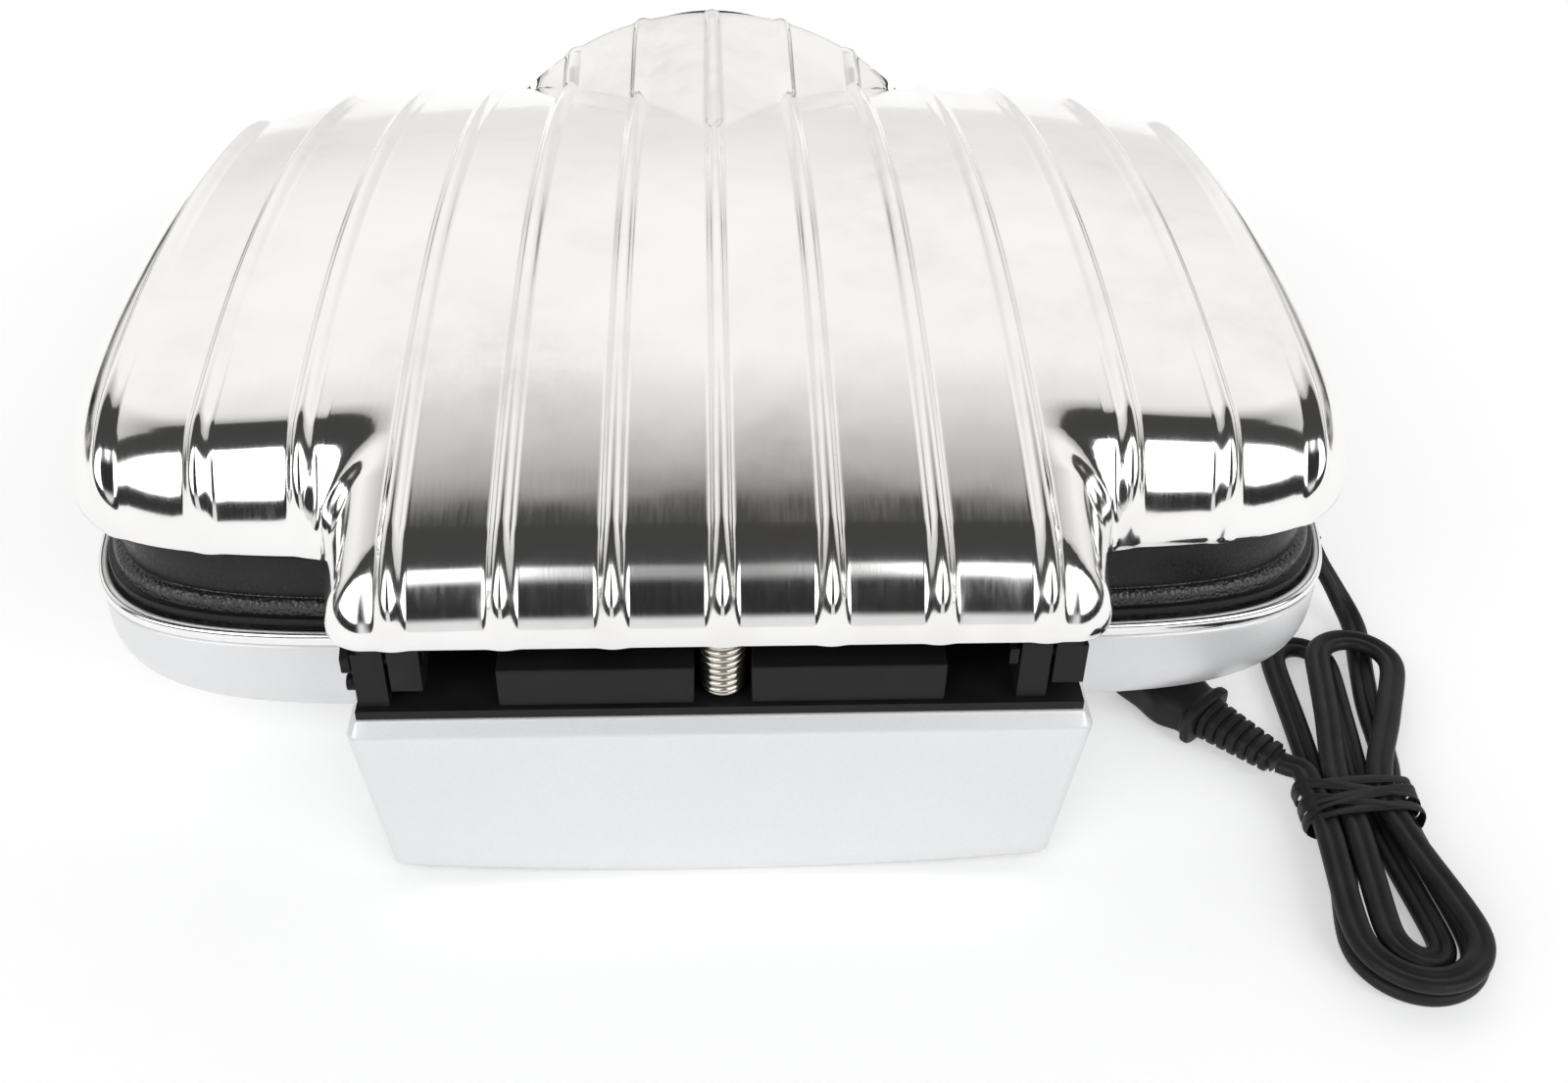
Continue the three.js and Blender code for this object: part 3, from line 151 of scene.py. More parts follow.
def silver_paint():
    look = Look("silver_paint")
    places = look.places()
    flakes = look.noise(places, 3200, 2.0, 0.7)
    broad = look.noise(places, 22, 3.0, 0.5)
    tint = look.blend(look.spread(flakes, 0.35, 0.68), (0.88, 0.883, 0.89), (0.95, 0.952, 0.958))
    colour = look.blend(look.spread(broad, 0.3, 0.7, 0.0, 0.16), tint, (0.84, 0.84, 0.85))
    rough = look.spread(flakes, 0.3, 0.7, 0.3, 0.44)
    peel = look.bump(look.noise(places, 650, 2.0, 0.5), 0.00004, 0.25)
    normal = look.bump(flakes, 0.00001, 0.35, peel)
    return look.finish(colour, rough, normal, 0.3, Coat_Weight=0.25, Coat_Roughness=0.18)


def moulded_plastic(name, shade, low, high, grain=1700, depth=0.00002):
    look = Look(name)
    places = look.places()
    texture = look.noise(places, grain, 3.0, 0.6)
    broad = look.noise(places, 60, 4.0, 0.55)
    light = tuple(v * 1.5 for v in shade)
    colour = look.blend(look.spread(broad, 0.35, 0.75), shade, light)
    rough = look.plus(look.spread(broad, 0.3, 0.7, low, high), look.spread(texture, 0.3, 0.7, -0.05, 0.05))
    return look.finish(colour, rough, look.bump(texture, depth, 0.5), Specular_IOR_Level=0.2)


def cast_coating(name, sparkle):
    look = Look(name)
    places = look.places()
    grain = look.cells(places, 900)
    fine = look.noise(places, 2600, 3.0, 0.6)
    broad = look.noise(places, 70, 4.0, 0.5)
    colour = look.blend(look.spread(broad, 0.35, 0.7), (0.009, 0.009, 0.0095), (0.014, 0.014, 0.0145))
    rough = look.plus(look.spread(grain, 0.1, 0.6, 0.24, 0.4), look.spread(fine, 0.3, 0.7, -0.06, 0.06))
    lumps = look.bump(grain, 0.00016 * sparkle, 0.9)
    normal = look.bump(fine, 0.00004 * sparkle, 0.6, lumps)
    return look.finish(colour, rough, normal, Specular_IOR_Level=0.2 + 0.3 * sparkle)


def plain_steel(name, one, two, low, high, along=(900, 60, 900)):
    look = Look(name)
    streaks = look.noise(look.places(along), 1, 3.0, 0.6)
    stains = look.noise(look.places(), 190, 4.0, 0.6)
    colour = look.blend(look.spread(stains, 0.35, 0.7), one, two)
    rough = look.plus(look.spread(streaks, 0.3, 0.7, low, high), look.spread(stains, 0.3, 0.7, -0.03, 0.05))
    return look.finish(colour, rough, look.bump(streaks, 0.00002, 0.3), 1.0)


def cord_vinyl():
    look = Look("cord_vinyl")
    places = look.places()
    lines = look.noise(look.places((46, 9, 1), "UV"), 1, 4.0, 0.65)
    broad = look.noise(places, 120, 3.0, 0.5)
    fine = look.noise(places, 2400, 2.0, 0.6)
    colour = look.blend(look.spread(broad, 0.35, 0.7), (0.0135, 0.0135, 0.0145), (0.021, 0.021, 0.0225))
    rough = look.plus(look.spread(lines, 0.3, 0.7, 0.36, 0.5), look.spread(fine, 0.3, 0.7, -0.04, 0.04))
    normal = look.bump(fine, 0.00002, 0.3, look.bump(lines, 0.00012, 0.45))
    return look.finish(colour, rough, normal, Specular_IOR_Level=0.22)


def fired_ceramic():
    look = Look("fired_ceramic")
    specks = look.noise(look.places(), 900, 3.0, 0.6)
    colour = look.blend(look.spread(specks, 0.35, 0.7), (0.72, 0.69, 0.62), (0.6, 0.57, 0.5))
    return look.finish(colour, look.spread(specks, 0.3, 0.7, 0.5, 0.7), look.bump(specks, 0.00004, 0.4))


def woven_sleeve():
    look = Look("woven_sleeve")
    weave = look.add("ShaderNodeTexWave", bands_direction="DIAGONAL")
    threads = look.fill(weave, Vector=look.places(), Scale=700, Distortion=1.0).outputs["Fac"]
    colour = look.blend(threads, (0.16, 0.155, 0.15), (0.27, 0.26, 0.25))
    return look.finish(colour, look.spread(threads, 0.0, 1.0, 0.8, 0.6), look.bump(threads, 0.0001, 0.6))


aluminium = polished_aluminium()
silver = silver_paint()
black = moulded_plastic("black_plastic", (0.011, 0.011, 0.0115), 0.36, 0.52)
rubber = moulded_plastic("foot_rubber", (0.02, 0.02, 0.0205), 0.62, 0.8, 900, 0.00006)
band = moulded_plastic("tie_band", (0.02, 0.0185, 0.0185), 0.36, 0.55, 2400, 0.00003)
coating = cast_coating("smooth_coating", 0.35)
cast = cast_coating("cast_coating", 2.2)
steel = plain_steel("plain_steel", (0.56, 0.56, 0.57), (0.45, 0.45, 0.46), 0.24, 0.36)
sheet_steel = plain_steel("sheet_steel", (0.62, 0.62, 0.63), (0.5, 0.5, 0.5), 0.3, 0.45, (60, 900, 60))
black_steel = plain_steel("black_steel", (0.022, 0.022, 0.024), (0.035, 0.034, 0.034), 0.38, 0.5)
nickel = plain_steel("nickel_wire", (0.7, 0.67, 0.6), (0.55, 0.52, 0.46), 0.16, 0.26, (300, 300, 2000))
brass = plain_steel("plated_brass", (0.66, 0.62, 0.52), (0.5, 0.47, 0.4), 0.2, 0.32)
sheath = plain_steel("element_sheath", (0.2, 0.19, 0.185), (0.11, 0.105, 0.1), 0.4, 0.6)
vinyl = cord_vinyl()
ceramic = fired_ceramic()
sleeve = woven_sleeve()


# Meshes, in millimetres

def unit(vectors):
    return vectors / np.linalg.norm(vectors, axis=-1)[..., None]


def ease(share):
    share = np.clip(share, 0, 1)
    return share * share * (3 - 2 * share)


def signed_power(values, power):
    return np.sign(values) * np.abs(values) ** power


def ellipse(count, half, tall):
    turn = np.linspace(0, TURN, count, endpoint=False)
    return np.stack([half * np.cos(turn), tall * np.sin(turn)], 1)


def quarter(count):
    """Shares from 0 to 1 that crowd towards 0, as the points of a rounded edge do."""
    return 1 - np.cos(np.linspace(0, math.pi / 2, count))


def walked(points):
    """The length of a line up to each of its points."""
    return np.concatenate([[0], np.cumsum(np.linalg.norm(np.diff(points, axis=0), axis=1))])


def swept(line, section, first, second):
    """Rings of a section along a line; a third dimension gives each ring its own section."""
    return line[:, None] + section[..., 0:1] * first[:, None] + section[..., 1:2] * second[:, None]


def mesh_piece(name, points, faces, material, uvs=None):
    mesh = bpy.data.meshes.new(name)
    mesh.from_pydata((np.asarray(points, float) * MM).tolist(), [], [list(f) for f in faces])
    mesh.update()
    mesh.materials.append(material)
    if uvs is not None:
        layer = mesh.uv_layers.new(name="UVMap")
        for loop in mesh.loops:
            layer.data[loop.index].uv = uvs[loop.vertex_index]
    piece = bpy.data.objects.new(name, mesh)
    scene.collection.objects.link(piece)
    return piece


def finish_piece(piece, body, replaced, angle=None):
    """Shades a piece smoothly up to an angle, ties it to its body, and hides the CAD nodes it replaces."""
    for polygon in piece.data.polygons:
        polygon.use_smooth = True
    if angle is not None:
        piece.data.set_sharp_from_angle(angle=math.radians(angle))
    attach(piece, body)
    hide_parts(*replaced)
    return piece


def grid_faces(rows, columns, closed=False, ring=False):
    """Quads of a grid, row by row; closed joins each row's ends, and ring the last row to the first."""
    faces = []
    for i in range(rows if ring else rows - 1):
        here, there = i * columns, (i + 1) % rows * columns
        for k in range(columns if closed else columns - 1):
            n = (k + 1) % columns
            faces.append((here + k, here + n, there + n, there + k))
    return faces


def loft(rings, cap_start=True, cap_end=True):
    """Points and faces of a body through closed rings of the same count."""
    rings = np.asarray(rings, float)
    count, sides = rings.shape[:2]
    faces = grid_faces(count, sides, closed=True)
    if cap_start:
        faces.append(tuple(range(sides))[::-1])
    if cap_end:
        faces.append(tuple((count - 1) * sides + k for k in range(sides)))
    return rings.reshape(-1, 3), faces


def joined(points, faces, more, more_faces):
    """The points and faces of two bodies in one mesh."""
    start = len(points)
    return np.concatenate([points, more]), faces + [tuple(start + v for v in f) for f in more_faces]


def outward(piece):
    mesh = bmesh.new()
    mesh.from_mesh(piece.data)
    bmesh.ops.remove_doubles(mesh, verts=mesh.verts, dist=1e-6)
    bmesh.ops.recalc_face_normals(mesh, faces=mesh.faces)
    mesh.to_mesh(piece.data)
    mesh.free()
    return piece


def add_modifier(piece, kind, **values):
    modifier = piece.modifiers.new(kind.lower(), kind)
    for key, value in values.items():
        setattr(modifier, key, value)


def eased(node, material, slot, body, width, segments):
    """A copy of a CAD solid with its edges rounded as moulded or pressed ones are."""
    mesh = bmesh.new()
    mesh.from_mesh(nodes[node].data)
    bmesh.ops.remove_doubles(mesh, verts=mesh.verts, dist=2e-6)
    bmesh.ops.dissolve_limit(mesh, angle_limit=math.radians(1), verts=mesh.verts, edges=mesh.edges)
    bmesh.ops.recalc_face_normals(mesh, faces=mesh.faces)
    data = bpy.data.meshes.new(node + "_eased")
    mesh.to_mesh(data)
    mesh.free()
    data.materials.clear()
    data.materials.append(material)
    piece = bpy.data.objects.new(node + "_eased", data)
    scene.collection.objects.link(piece)
    add_modifier(piece, "BEVEL", width=width * MM, segments=segments, limit_method="ANGLE",
                 angle_limit=math.radians(32), harden_normals=True)
    return finish_piece(piece, body, [node], 40)


def dress(node, material):
    target = nodes[node]
    if not target.material_slots:
        target.data.materials.append(material)
    for place in target.material_slots:
        place.material = material


# Camera

CAMERA_PLACE = (0.0029, 0.4688, 0.3498)
CAMERA_TILT, CAMERA_YAW, CAMERA_ROLL = 37.53, 3.25, -1.37
SENSOR, FOCAL_SHARE = 36, 1677 / 1600


def aim_camera():
    tilt, yaw, roll = (math.radians(v) for v in (CAMERA_TILT, CAMERA_YAW, CAMERA_ROLL))
    forward = Vector((-math.sin(yaw) * math.cos(tilt), -math.cos(yaw) * math.cos(tilt), -math.sin(tilt)))
    level = Vector((-math.cos(yaw), math.sin(yaw), 0))
    down = forward.cross(level)
    if down.z > 0:
        down = -down
    right = math.cos(roll) * level + math.sin(roll) * down
    up = math.sin(roll) * level - math.cos(roll) * down
    camera = bpy.data.objects.new("camera", bpy.data.cameras.new("camera"))
    camera.data.sensor_width = SENSOR
    camera.data.lens = SENSOR * FOCAL_SHARE
    camera.data.clip_start = 0.01
    scene.collection.objects.link(camera)
    turn = Matrix((right, up, -forward)).transposed()
    camera.matrix_world = Matrix.Translation(CAMERA_PLACE) @ turn.to_4x4()
    scene.camera = camera


aim_camera()


# Cord

CORD_WIDTH, CORD_THICKNESS = 7.7, 4.2
LEAD = [
    (-191.8, 46.5, 26.8), (-192.9, 50.2, 25), (-195, 53.4, 21.8), (-198.3, 55.5, 17.2),
    (-201.6, 57.6, 12.4), (-204.4, 60.6, 8.2), (-206.4, 65, 5.2), (-206.8, 70.5, 3.7),
    (-205.6, 77, 3.2), (-203.8, 85, 3.2), (-202, 93.5, 3.2), (-200.3, 102, 3.2),
    (-199.1, 110.5, 3.2), (-198.4, 118.5, 3.2), (-197.8, 125, 3.2), (-196.8, 131, 3.2),
]
TAIL = [
    (-163.6, 132.4, 7.2), (-165, 133.8, 7.3), (-167, 134.8, 7.7),
    (-168.7, 135.6, 8), (-169.4, 136.6, 8.1), (-169.4, 137.8, 8.1),
]
HANK_X, WAIST_Y, FAR_BEND_Y = -182.0, 149.0, 196
RUN_PITCH, LAYER_STEP, LOWER_LAYER = 8.4, 4.9, 3.2
HANK_TURNS, CLIMB_TURNS = 3, 0.3
TIE_REACH = 8.3


def hank_line():
    """The folded middle of the cord, three turns through the tie."""
    line = []

    def from_middle(turns):
        return abs(turns - HANK_TURNS / 2)

    def bend_offset(turns):
        return RUN_PITCH * (0.25 + from_middle(turns)) + 5.4

    def run_offset(turns):
        return RUN_PITCH * (0.5 + abs(from_middle(turns) - 0.25))

    def add(across, y, turns):
        start = (HANK_TURNS - CLIMB_TURNS) / 2
        line.append((HANK_X - across, y, LOWER_LAYER + LAYER_STEP * ease((turns - start) / CLIMB_TURNS)))

    # Turns, y, lean and half width of each near bend; the first and last are the loose ends
    ends = [
        (0, WAIST_Y - 17, 0, run_offset(0.25) + 2),
        (1, 85, 2, bend_offset(1) - 3.4),
        (2, 91, 17, bend_offset(2)),
        (3, WAIST_Y - 10.5, 0, run_offset(2.75)),
    ]

    def near_run(end, side, waist, shares):
        turns, y, lean, half = end
        foot = WAIST_Y - TIE_REACH
        for share in shares:
            across = side * waist + (lean + side * (half - waist)) * ease(share)
            add(across, foot + (y - foot) * share, turns)

    for n in range(HANK_TURNS):
        low, right, left = bend_offset(n + 0.5), run_offset(n + 0.25), run_offset(n + 0.75)
        near_run(ends[n], 1, right, [0.55, 0] if n else [1, 0])
        add(right, WAIST_Y + TIE_REACH, n)
        for i in range(9):
            angle = math.pi * i / 8
            turns = n + 0.5 + (i / 8 - 0.5) * CLIMB_TURNS
            add(low * math.cos(angle), FAR_BEND_Y + low * math.sin(angle), turns)
        add(-left, WAIST_Y + TIE_REACH, n + 1)
        end = ends[n + 1]
        if n + 1 == HANK_TURNS:
            near_run(end, -1, left, [0, 1])
            continue
        near_run(end, -1, left, [0, 0.55])
        turns, y, lean, half = end
        for i in range(9):
            angle = math.pi - math.pi * i / 8
            add(lean + half * math.cos(angle), y - half * math.sin(angle), turns)
    return line


def through(points, step):
    """A centripetal curve through points, walked in even steps."""
    points = np.asarray(points, float)
    ends = np.vstack([2 * points[0] - points[1], points, 2 * points[-1] - points[-2]])
    dense = []
    for i in range(1, len(ends) - 2):
        p = ends[i - 1:i + 3]
        gaps = np.sqrt(np.linalg.norm(np.diff(p, axis=0), axis=1))
        t = np.concatenate([[0], np.cumsum(gaps)])
        for s in np.linspace(t[1], t[2], 14, endpoint=False):
            a = [(p[j] * (t[j + 1] - s) + p[j + 1] * (s - t[j])) / (t[j + 1] - t[j]) for j in range(3)]
            b = [(a[j] * (t[j + 2] - s) + a[j + 1] * (s - t[j])) / (t[j + 2] - t[j]) for j in range(2)]
            dense.append((b[0] * (t[2] - s) + b[1] * (s - t[1])) / (t[2] - t[1]))
    dense = np.array(dense + [points[-1]])
    run = walked(dense)
    walk = np.linspace(0, run[-1], max(2, int(round(run[-1] / step))) + 1)
    return np.stack([np.interp(walk, run, dense[:, k]) for k in range(3)], 1)


def smoothed(line, times):
    line = line.copy()
    for _ in range(times):
        line[1:-1] = line[1:-1] * 0.5 + (line[:-2] + line[2:]) * 0.25
    return line


def square_to(line, upright=(0, 0, 1.0)):
    """Sideways and upward directions of a line."""
    along = unit(np.gradient(line, axis=0))
    side = unit(np.cross(along, upright))
    return side, np.cross(side, along)


def twin_section(width, thickness):
    """Two round conductors side by side with a groove between them."""
    radius = thickness / 2
    centre = width / 2 - radius
    groove = math.radians(40)
    right = [(centre + radius * math.cos(a), radius * math.sin(a))
             for a in np.linspace(-math.pi + groove, math.pi - groove, 15)]
    return np.array(right + [(-x, -z) for x, z in right])


def cord_piece():
    line = smoothed(through(LEAD + hank_line() + TAIL[::-1], 1.5), 3)
    section = twin_section(CORD_WIDTH, CORD_THICKNESS)
    points, faces = loft(swept(line, section, *square_to(line)))
    count = len(section)
    uvs = [(k / count, i * 0.075) for i in range(len(line)) for k in range(count)]
    piece = mesh_piece("power_cord", points, faces, vinyl, uvs)
    finish_piece(piece, "base", ["cord_lead", "cord_hank", "cord_tail"], 60)
    return piece, line, float(walked(line)[-1])


cord, cord_line, cord_length = cord_piece()


# Gland, tie and plug

def gland_piece():
    """The ribbed sleeve that holds the cord where it leaves the base."""
    path = [(-176.5, 36.4, 31), (-184.5, 36.8, 31), (-188.2, 38.4, 30.8), (-190.6, 42.0, 29.4)] + LEAD[:2]
    line = through(path, 0.4)
    ribs, wide, narrow, groove = 7, 5.7, 4.3, 0.5
    share = np.arange(len(line)) / (len(line) - 1)
    phase = share * ribs % 1.0
    radii = wide + (narrow - wide) * share - np.where((phase > 0.62) & (phase < 0.96), groove, 0.0)
    run = np.linalg.norm(line - line[0], axis=1)
    radii[run < 9.2] = 6.0
    radii[(run > 6.8) & (run < 9.0)] = 8.3
    rings = swept(line, radii[:, None, None] * ellipse(28, 1, 1), *square_to(line))
    piece = mesh_piece("cord_gland_ribbed", *loft(rings), rubber)
    return finish_piece(piece, "base", ["cord_gland"], 35)


def tie_piece():
    """Flat bands wound criss-cross round the waist of the hank."""
    wraps = [(-5.6, 1.2, 0.0), (-2.9, -3.2, 0.25), (-0.2, 2.4, 0.5),
             (2.6, -2.4, 0.3), (5.3, 1.6, 0.1), (0.8, 4.6, 0.75)]
    centre_z = 5.55
    turn = np.linspace(0, TURN, 96, endpoint=False)
    section = ellipse(12, 1.5, 0.34)
    points, faces = np.zeros((0, 3)), []
    for offset, slant, lift in wraps:
        across = signed_power(np.cos(turn), 0.55)
        middle = np.stack([
            HANK_X + (17.1 + lift * 0.4) * across,
            WAIST_Y + offset + slant * across + 0.35 * np.sin(3 * turn + offset),
            centre_z + (5.15 + lift * 0.35) * signed_power(np.sin(turn), 0.62),
        ], 1)
        along = unit(np.roll(middle, -1, 0) - np.roll(middle, 1, 0))
        out = middle - np.array([HANK_X, WAIST_Y, centre_z])
        out[:, 1] = 0
        flat = unit(np.cross(out, along))
        rings = swept(middle, section, flat, np.cross(along, flat))
        quads = grid_faces(len(turn), len(section), closed=True, ring=True)
        points, faces = joined(points, faces, rings.reshape(-1, 3), quads)
    piece = outward(mesh_piece("cord_tie_band", points, faces, band))
    return finish_piece(piece, "base", ["cord_tie"])


PLUG_TIP, PLUG_ANGLE, PLUG_Z = (-127.4, 90.5), 2.286, 7.2
RELIEF_START, RELIEF_LENGTH, RELIEF_RIBS = 30.3, 24.0, 7


def plug_ring(along, half, tall, power, count):
    """A rounded ring square to the plug, along millimetres from its tip, in the row frame."""
    turn = np.linspace(0, TURN, count, endpoint=False)
    across = half * signed_power(np.cos(turn), 2 / power)
    c, s = math.cos(PLUG_ANGLE), math.sin(PLUG_ANGLE)
    x = PLUG_TIP[0] + c * along - s * across
    y = PLUG_TIP[1] + s * along + c * across
    return np.stack([x, y, PLUG_Z + tall * signed_power(np.sin(turn), 2 / power)], -1)


def plug_piece():
    """The moulded plug: a nose, a waisted grip and a flange at the cord."""
    stations = [
        (0.0, 6.4, 4.6), (0.35, 7.3, 5.5), (1.2, 7.9, 6.0), (4, 8.0, 6.15), (8, 8.1, 6.2), (11, 8.6, 6.2),
        (14, 9.6, 6.15), (17, 10.3, 6.0), (19.5, 10.3, 5.8), (22, 9.4, 5.5), (24.4, 8.4, 5.3),
        (25.8, 8.3, 5.4), (26.5, 9.0, 6.0), (27.0, 10.1, 6.35), (27.6, 10.4, 6.45), (29.2, 10.4, 6.45),
        (29.8, 9.9, 6.2), (30.0, 8.8, 5.4),
    ]
    rings = [plug_ring(along, half, tall, 4.5, 40) for along, half, tall in stations]
    piece = outward(mesh_piece("plug_moulding", *loft(rings), vinyl))
    add_modifier(piece, "SUBSURF", levels=1, render_levels=1)
    return finish_piece(piece, "base", ["plug_body"], 55)


def relief_piece():
    """The tapered strain relief with its grooves."""
    rings = []
    for rib in range(RELIEF_RIBS):
        for share, cut in ((0.0, 0.25), (0.06, 0.0), (0.56, 0.0), (0.62, 0.25), (0.66, 1.25), (0.94, 1.25)):
            done = (rib + share) / RELIEF_RIBS
            wide = 6.2 - 1.9 * done
            place = RELIEF_START + RELIEF_LENGTH * done
            rings.append(plug_ring(place, wide + 0.7 - cut, wide - 0.5 - cut, 2.6, 36))
    rings.append(plug_ring(RELIEF_START + RELIEF_LENGTH, 4.2, 3.4, 2.4, 36))
    piece = outward(mesh_piece("plug_relief_ribbed", *loft(rings), vinyl))
    return finish_piece(piece, "base", ["plug_relief"], 40)


gland = gland_piece()
tie = tie_piece()
plug = plug_piece()
relief = relief_piece()
blades = [eased("plug_blade_" + side, brass, "brass", "base", 0.3, 2) for side in ("left", "right")]


# Outline shared by the lid, the plates and the tray

HALF, FRONT, REAR = 182.5, 148.0, 141.5
FRONT_POWER, REAR_POWER = 3.5, 7.0
WIDEST, REAR_FACE = -16.5, 164.5
SHOULDER = WIDEST + REAR


def half_shape(y):
    """The reach and the power of the outline's rear or front half."""
    return np.where(y > WIDEST, REAR, FRONT), np.where(y > WIDEST, REAR_POWER, FRONT_POWER)


def outline_y(x, rear):
    power = REAR_POWER if rear else FRONT_POWER
    share = np.clip(np.abs(x) / HALF, 0, 1)
    away = np.maximum(0, 1 - share ** power) ** (1 / power)
    return WIDEST + REAR * away if rear else WIDEST - FRONT * away


def outline_x(y):
    reach, power = half_shape(y)
    share = np.clip(np.abs(y - WIDEST) / reach, 0, 1)
    return HALF * np.maximum(0, 1 - share ** power) ** (1 / power)


def outline_depth(x, y):
    """How far inside the outline a point lies, to first order."""
    reach, power = half_shape(y)
    a = np.maximum(np.abs(x) / HALF, 1e-9)
    b = np.maximum(np.abs(y - WIDEST) / reach, 1e-9)
    level = (a ** power + b ** power) ** (1 / power)
    slope = np.hypot(a ** (power - 1) / HALF, b ** (power - 1) / reach)
    depth = (1 - level) / np.maximum(slope * level ** (1 - power), 1e-9)
    return np.where(level < 0.3, REAR, depth)


def outline_ring(inset, z, count=420):
    """The outline as a closed ring, with points at even steps."""
    turn = np.linspace(0, TURN, 6001)
    c, s = np.cos(turn), np.sin(turn)
    power = np.where(s > 0, REAR_POWER, FRONT_POWER)
    x = HALF * signed_power(c, 2 / power)
    y = np.where(s > 0, REAR, FRONT) * signed_power(s, 2 / power)
    run = walked(np.stack([x, y], 1))
    walk = np.linspace(0, run[-1], count, endpoint=False)
    x, y = np.interp(walk, run, x), np.interp(walk, run, y)
    reach = np.where(y > 0, (REAR - inset) / REAR, (FRONT - inset) / FRONT)
    return np.stack([x * (HALF - inset) / HALF, WIDEST + y * reach, np.full(count, float(z))], 1)


def outline_rings(profile):
    return np.array([outline_ring(inset, z) for inset, z in profile])


# Lid

LID_BASE, LID_RIM, EDGE_RADIUS = 83.5, 81.0, 19.0
DOME_TOP, DOME_PEAK_Y, DOME_REAR_RUN, DOME_FRONT_RUN = 126.4, 9.5, 848, 912
DOME_CROWN, CROWN_POWER = 12.8, 3.6
RIB_PITCH, RIBS, RIB_HEIGHT, RIB_FOOT = 27.0, 6, 2.8, 4.6
TONGUE_HALF, TONGUE_REAR, TONGUE_CORNER = 97.3, 162.5, 9.0
TONGUE_FLARE, FLARE_RUN = 5.8, 60.0
LEAN_FROM, LEAN_TO = 87.8, 104.7
COVER_RUN, NOTCH_BLEND = 26.5, 10.0
BILL_HALF, BILL_Z, BILL_RADIUS, BILL_SETBACK = 74.0, 125.0, 103.5, 5.0
POCKET_HALF, POCKET_FLOOR, POCKET_FRONT = 56, 97.0, -159.9
LIP_ROW, WALL_ROWS = 8, 5
POCKET_ROW = LIP_ROW + 1


def dome_z(x, y):
    run = np.where(y > DOME_PEAK_Y, DOME_REAR_RUN, DOME_FRONT_RUN)
    return DOME_TOP - (y - DOME_PEAK_Y) ** 2 / run - DOME_CROWN * (np.abs(x) / HALF) ** CROWN_POWER


def flare_at(y):
    """How far the cover's side stands out at its root, and the lean of the lid before it."""
    cover = TONGUE_FLARE * (TONGUE_REAR - y) / (TONGUE_REAR - SHOULDER)
    before = TONGUE_FLARE * np.clip(1 - (SHOULDER - y) / FLARE_RUN, 0, 1)
    return np.where(y > SHOULDER, cover, before)


def leaning(x, y):
    """The columns beside the cover lean out with its sides."""
    ax = np.abs(x)
    into = np.clip((ax - LEAN_FROM) / (TONGUE_HALF - LEAN_FROM), 0, 1)
    out = np.clip((LEAN_TO - ax) / (LEAN_TO - TONGUE_HALF), 0, 1)
    return x + np.sign(x) * np.minimum(into, out) * flare_at(y)


def lid_depth(x, y):
    """How far inside the lid's edge a point lies, with the notches beside the cover filled softly."""
    side, end = TONGUE_HALF + flare_at(y) - np.abs(x), TONGUE_REAR - y
    corner = TONGUE_CORNER
    inside = corner - np.hypot(np.maximum(corner - side, 0), np.maximum(corner - end, 0))
    tongue = np.where((side > corner) | (end > corner), np.minimum(side, end), inside)
    tongue = np.where(y < WIDEST, -TONGUE_HALF, tongue)
    body = outline_depth(x, y)
    blend = np.maximum(NOTCH_BLEND - np.abs(body - tongue), 0) / NOTCH_BLEND
    return np.maximum(body, tongue) + blend ** 3 * NOTCH_BLEND / 6


def bill_edge_z(x):
    return BILL_Z - BILL_RADIUS + np.sqrt(np.maximum(BILL_RADIUS ** 2 - x ** 2, 0))


def bill_crease(x):
    return -45 - 114 * (np.abs(x) / 72) ** 0.7


def bill_z(x, y, edge):
    crease = np.maximum(bill_crease(x), edge + 0.5)
    foot = dome_z(x, crease)
    line = foot + (bill_edge_z(x) - foot) * (crease - y) / (crease - edge)
    return np.where(y < crease, line, 0)


def rear_boundary(x):
    """Where the lid ends behind, beside its hinge cover."""
    low, high = outline_y(x, True) - 6, outline_y(x, True) + 14
    for _ in range(40):
        middle = (low + high) / 2
        inside = lid_depth(leaning(x, middle), middle) > 0
        low, high = np.where(inside, middle, low), np.where(inside, high, middle)
    return (low + high) / 2


def lid_columns():
    xs = []
    for k in range(-RIBS, RIBS + 1):
        xs.extend(k * RIB_PITCH + np.linspace(-RIB_FOOT, RIB_FOOT, 17))
        if k < RIBS:
            xs.extend(k * RIB_PITCH + np.linspace(RIB_FOOT, RIB_PITCH - RIB_FOOT, 7))
    xs = [x for x in xs if not TONGUE_HALF - 9.6 < abs(x) < TONGUE_HALF + 7.5]
    near = TONGUE_HALF - 9.5 * quarter(12)
    past = TONGUE_HALF + 7.4 * quarter(10)[1:]
    tip = HALF - 19.5 * quarter(22)[1:]
    for x in (*near, *past, POCKET_HALF, *tip):
        xs.extend((x, -x))
    xs = np.unique(np.round(xs, 4))
    keep = [xs[0]]
    for x in xs[1:]:
        if x - keep[-1] > 0.03:
            keep.append(x)
    return np.array(keep)


def rib_swell(x, depth):
    """The height of the bead ribs, whose feet widen where the lid turns down."""
    off = np.abs(x - RIB_PITCH * np.clip(np.round(x / RIB_PITCH), -RIBS, RIBS))
    turn = np.clip(1 - depth / 17, 0, 1)
    share = np.clip(off / (3.25 + 1.35 * turn), 0, 1)
    return RIB_HEIGHT * (1 - share ** 2) ** (1.35 + 0.5 * turn)


def edge_turn(depth):
    """The rounded edge at a depth, as the shares of its height and of its fall."""
    share = np.clip(depth / EDGE_RADIUS, 0, 1)
    return np.sqrt(1 - (1 - share) ** 2), 1 - share


def lip_fade(depth):
    """The ribs run out just above the lid's lip."""
    return 0.22 + 0.78 * ease(edge_turn(depth)[0] / 0.7)


